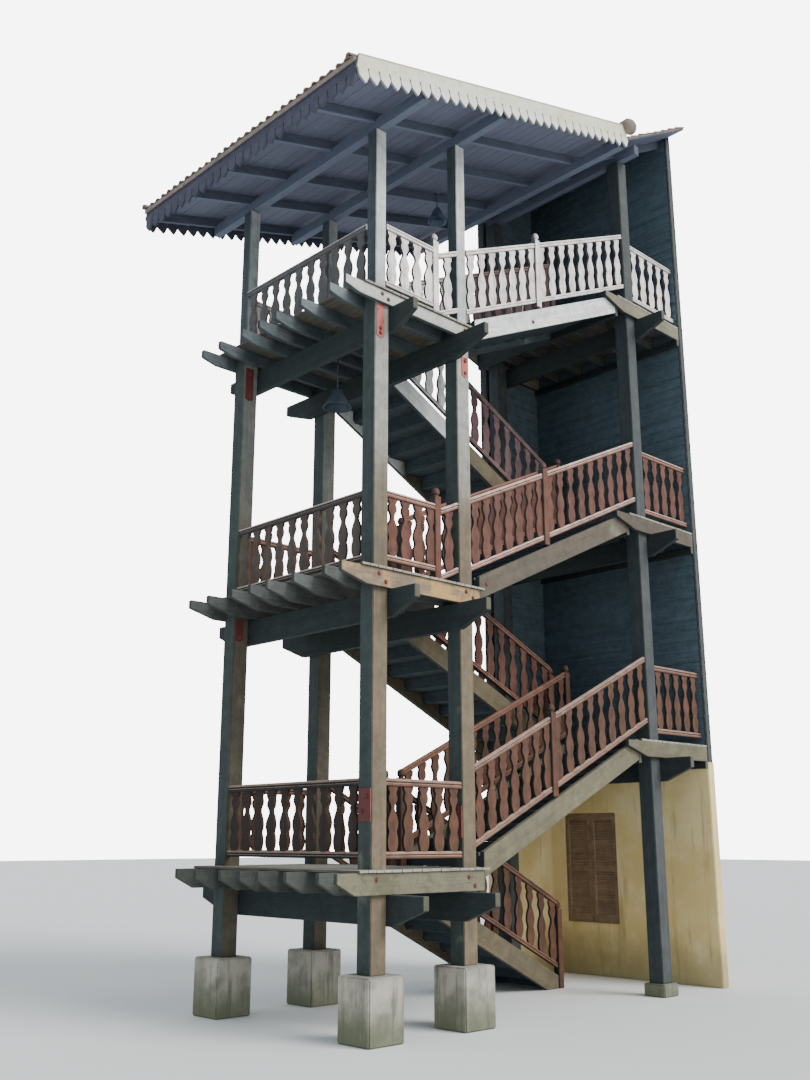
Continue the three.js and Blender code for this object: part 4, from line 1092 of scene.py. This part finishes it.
CAP_HEIGHT = roof_top(TURN) - 0.04
PLUG = 0.11
cap = fresh()
cap_tile = half_round(Matrix.Translation((TURN, -0.8, CAP_HEIGHT)), 0.4, 0.118, 0.106, 0.016)
add_row(cap, cap_tile, clay, 11, (0, 0.3805, 0), 95, uneven=(0.002, 0.003, 0.002),
        lean=(0.004, 0.01, 0.01))
for y, swell in ((-0.795, 0.085), (3.38, 0.03)):
    place = Matrix.Translation((TURN, y, CAP_HEIGHT)) @ Matrix.Diagonal((1, swell / PLUG, 1, 1))
    bmesh.ops.create_uvsphere(cap, u_segments=24, v_segments=16, radius=PLUG, matrix=place)
built("cap_tiles", cap, clay, "clay_tile", "roof_cap")

EDGE_X, EDGE_STEP = -1.03, 0.325
edge_tiles = fresh()
up_slope = Matrix.Rotation(-math.atan(LEAN), 4, "Y") @ Matrix.Rotation(-math.pi / 2, 4, "Z")
for y in (-0.69, 3.284):
    place = Matrix.Translation((EDGE_X, y, roof_top(EDGE_X) - 0.03)) @ up_slope
    edge_tile = half_round(place, 0.36, 0.046, 0.04, 0.01)
    add_row(edge_tiles, edge_tile, clay, 15, (EDGE_STEP, 0, EDGE_STEP * LEAN), 96,
            uneven=(0.004, 0.002, 0.002), lean=(0.01, 0.008, 0.01))
built("verge_tiles", edge_tiles, clay, "clay_tile", "tower_roof")


# Fringe boards
# Boards sawn into pointed petals hang from the verges and the eave. The near one has bleached
# nearly white and carries lichen. The others are dark.

def lichened():
    """The near verge: lichen and dirt on the board, washed white on the petals, with painted shade along
    its top edge and on the faces turned away from the near side.
    """
    f = Finish("lichened_white_paint")
    cloud = f.noise(2.2)
    spots = f.noise(22, detail=5)
    runs = f.noise(1.0, (26, 1, 2.5))
    side, up = (f.node("ShaderNodeSeparateXYZ", None, {0: f.place}, out=n) for n in (0, 2))
    drop = up - side * LEAN
    edge = roof_top(EAVE) - LEAN * (CORNER.x + EAVE)
    washed = 1 - f.between(drop, edge - 0.28, edge - 0.16)
    colour = f.mix(f.between(cloud, 0.35, 0.6), "eeeedd", "e8e6c6")
    colour = f.mix(f.between(spots, 0.52, 0.66) * 0.5, colour, "bab89c")
    colour = f.mix(washed * 0.75, colour, "f6f6f0")
    colour = f.mix(f.between(runs, 0.56, 0.72) * 0.3, colour, "8f8d7c")
    lit = f.between(0 - f.facing()[1], -0.2, 0.4)
    # A grey band along the top edge: painted shade under the tiles.
    colour = f.mix(f.between(drop + (cloud - 0.5) * 0.02, edge - 0.035, edge - 0.015) * 0.6, colour,
                   "8f8a80")
    # Faces turned away from the near side are slate grey: painted shade.
    colour = f.mix(lit, "4c4f56", colour)
    return f.surface(colour, 0.8, spots * 0.6 + cloud, 0.002)


FRINGE = 0.025


def petal(height, pitch, slope):
    """The outline of one petal's width of fringe board. The petals are sawn square to a sloping top
    edge, so they lean about their shoulders, and each slit ends in a small hole."""
    shoulder = 0.08 - height
    half = [(0, 0), (0, 0.166 - height), (0.006, 0.163 - height), (0.01, 0.152 - height),
            (0.008, 0.13 - height), (0.006, 0.1 - height), (0.007, shoulder), (0.04, 0.038 - height)]
    outline = half + [(pitch / 2, -height)] + [(pitch - u, v) for u, v in reversed(half)]
    return [(u + slope * (shoulder - v), v + slope * u) if v < 0 else (u, v + slope * u)
            for u, v in outline]


def fringe(name, outline, place, count, step, finish, slot, node):
    """A row of petals. The first is sawn at the origin and set down in its place."""
    unit = fresh()
    prism(unit, outline, 1, 0.0, FRINGE)
    bmesh.ops.transform(unit, matrix=place, verts=unit.verts)
    board = fresh()
    add_row(board, unit, finish, count, step, 97, uneven=(0.0005, 0, 0.001))
    for corner in board.verts:
        corner.co.x = max(corner.co.x, EAVE - FRINGE)
    built(name, board, finish, slot, node)


pale_fringe = lichened()
dark_fringe = timber("dark_fringe", 1, "474857", "484957", near_face_share=0.6)
pitch = (TURN - EAVE) / 32
for name, y, finish, slot in (("near_verge", -0.761, pale_fringe, "pale_timber"),
                              ("far_verge", 3.33, dark_fringe, "dark_timber")):
    fringe(f"{name}_petals", petal(0.335, pitch, LEAN), Matrix.Translation((EAVE, y, roof_top(EAVE))),
           32, (pitch, 0, pitch * LEAN), finish, slot, name)
eave_pitch = 4.066 / 27
along_eave = (Matrix.Translation((EAVE, -0.736, roof_top(EAVE - FRINGE) - UNDER_BOARDS))
              @ Matrix.Rotation(math.pi / 2, 4, "Z"))
fringe("eave_petals", petal(0.27, eave_pitch, 0), along_eave, 27, (0, eave_pitch, 0), dark_fringe,
       "dark_timber", "eave_board")


# Lamps
# Spun metal shades on thin stems. One hangs from a round plate under the roof boards, the other
# from one under the top landing's joists.

def spun_metal():
    f = Finish("blue_grey_enamel")
    cloud = f.noise(12)
    # The lower lamp, under the top landing, is darkened: painted shade.
    low = 1 - f.between(f.height(), 7.6, 9.5)
    colour = f.mix(f.between(cloud, 0.4, 0.65), "4b5a70", "6d7b90")
    colour = f.mix(low * 0.8, colour, "262d33")
    return f.surface(colour, 0.4 + cloud * 0.2, cloud, 0.001, metallic=0.3)


enamel = spun_metal()
lamps = fresh()
SHADE = ((0.135, 0.0), (0.125, 0.004), (0.085, 0.09), (0.055, 0.15), (0.03, 0.2), (0.012, 0.21),
         (0.012, 0.225), (0.04, 0.215), (0.065, 0.16), (0.095, 0.095), (0.132, 0.012))
CEILING_PLATE = ((0.002, 0.0), (0.03, 0.0), (0.04, 0.012), (0.04, 0.02), (0.002, 0.02))
for x, y, bottom, ceiling, spread in ((2.683, 1.67, 10.28, 10.742, 1.0), (0.39, 1.075, 6.66, 7.477, 1.25)):
    length = ceiling - bottom
    stem = ((0.006, 0.2), (0.009, 0.2), (0.009, length), (0.006, length))
    turned(lamps, x, y, bottom, [(r * spread, up) for r, up in SHADE], 28, hollow=True)
    turned(lamps, x, y, bottom, stem, 12, hollow=True)
    turned(lamps, x, y, ceiling - 0.02, CEILING_PLATE, 16, hollow=True)
built("lamp_shades", lamps, enamel, "lamp_metal")
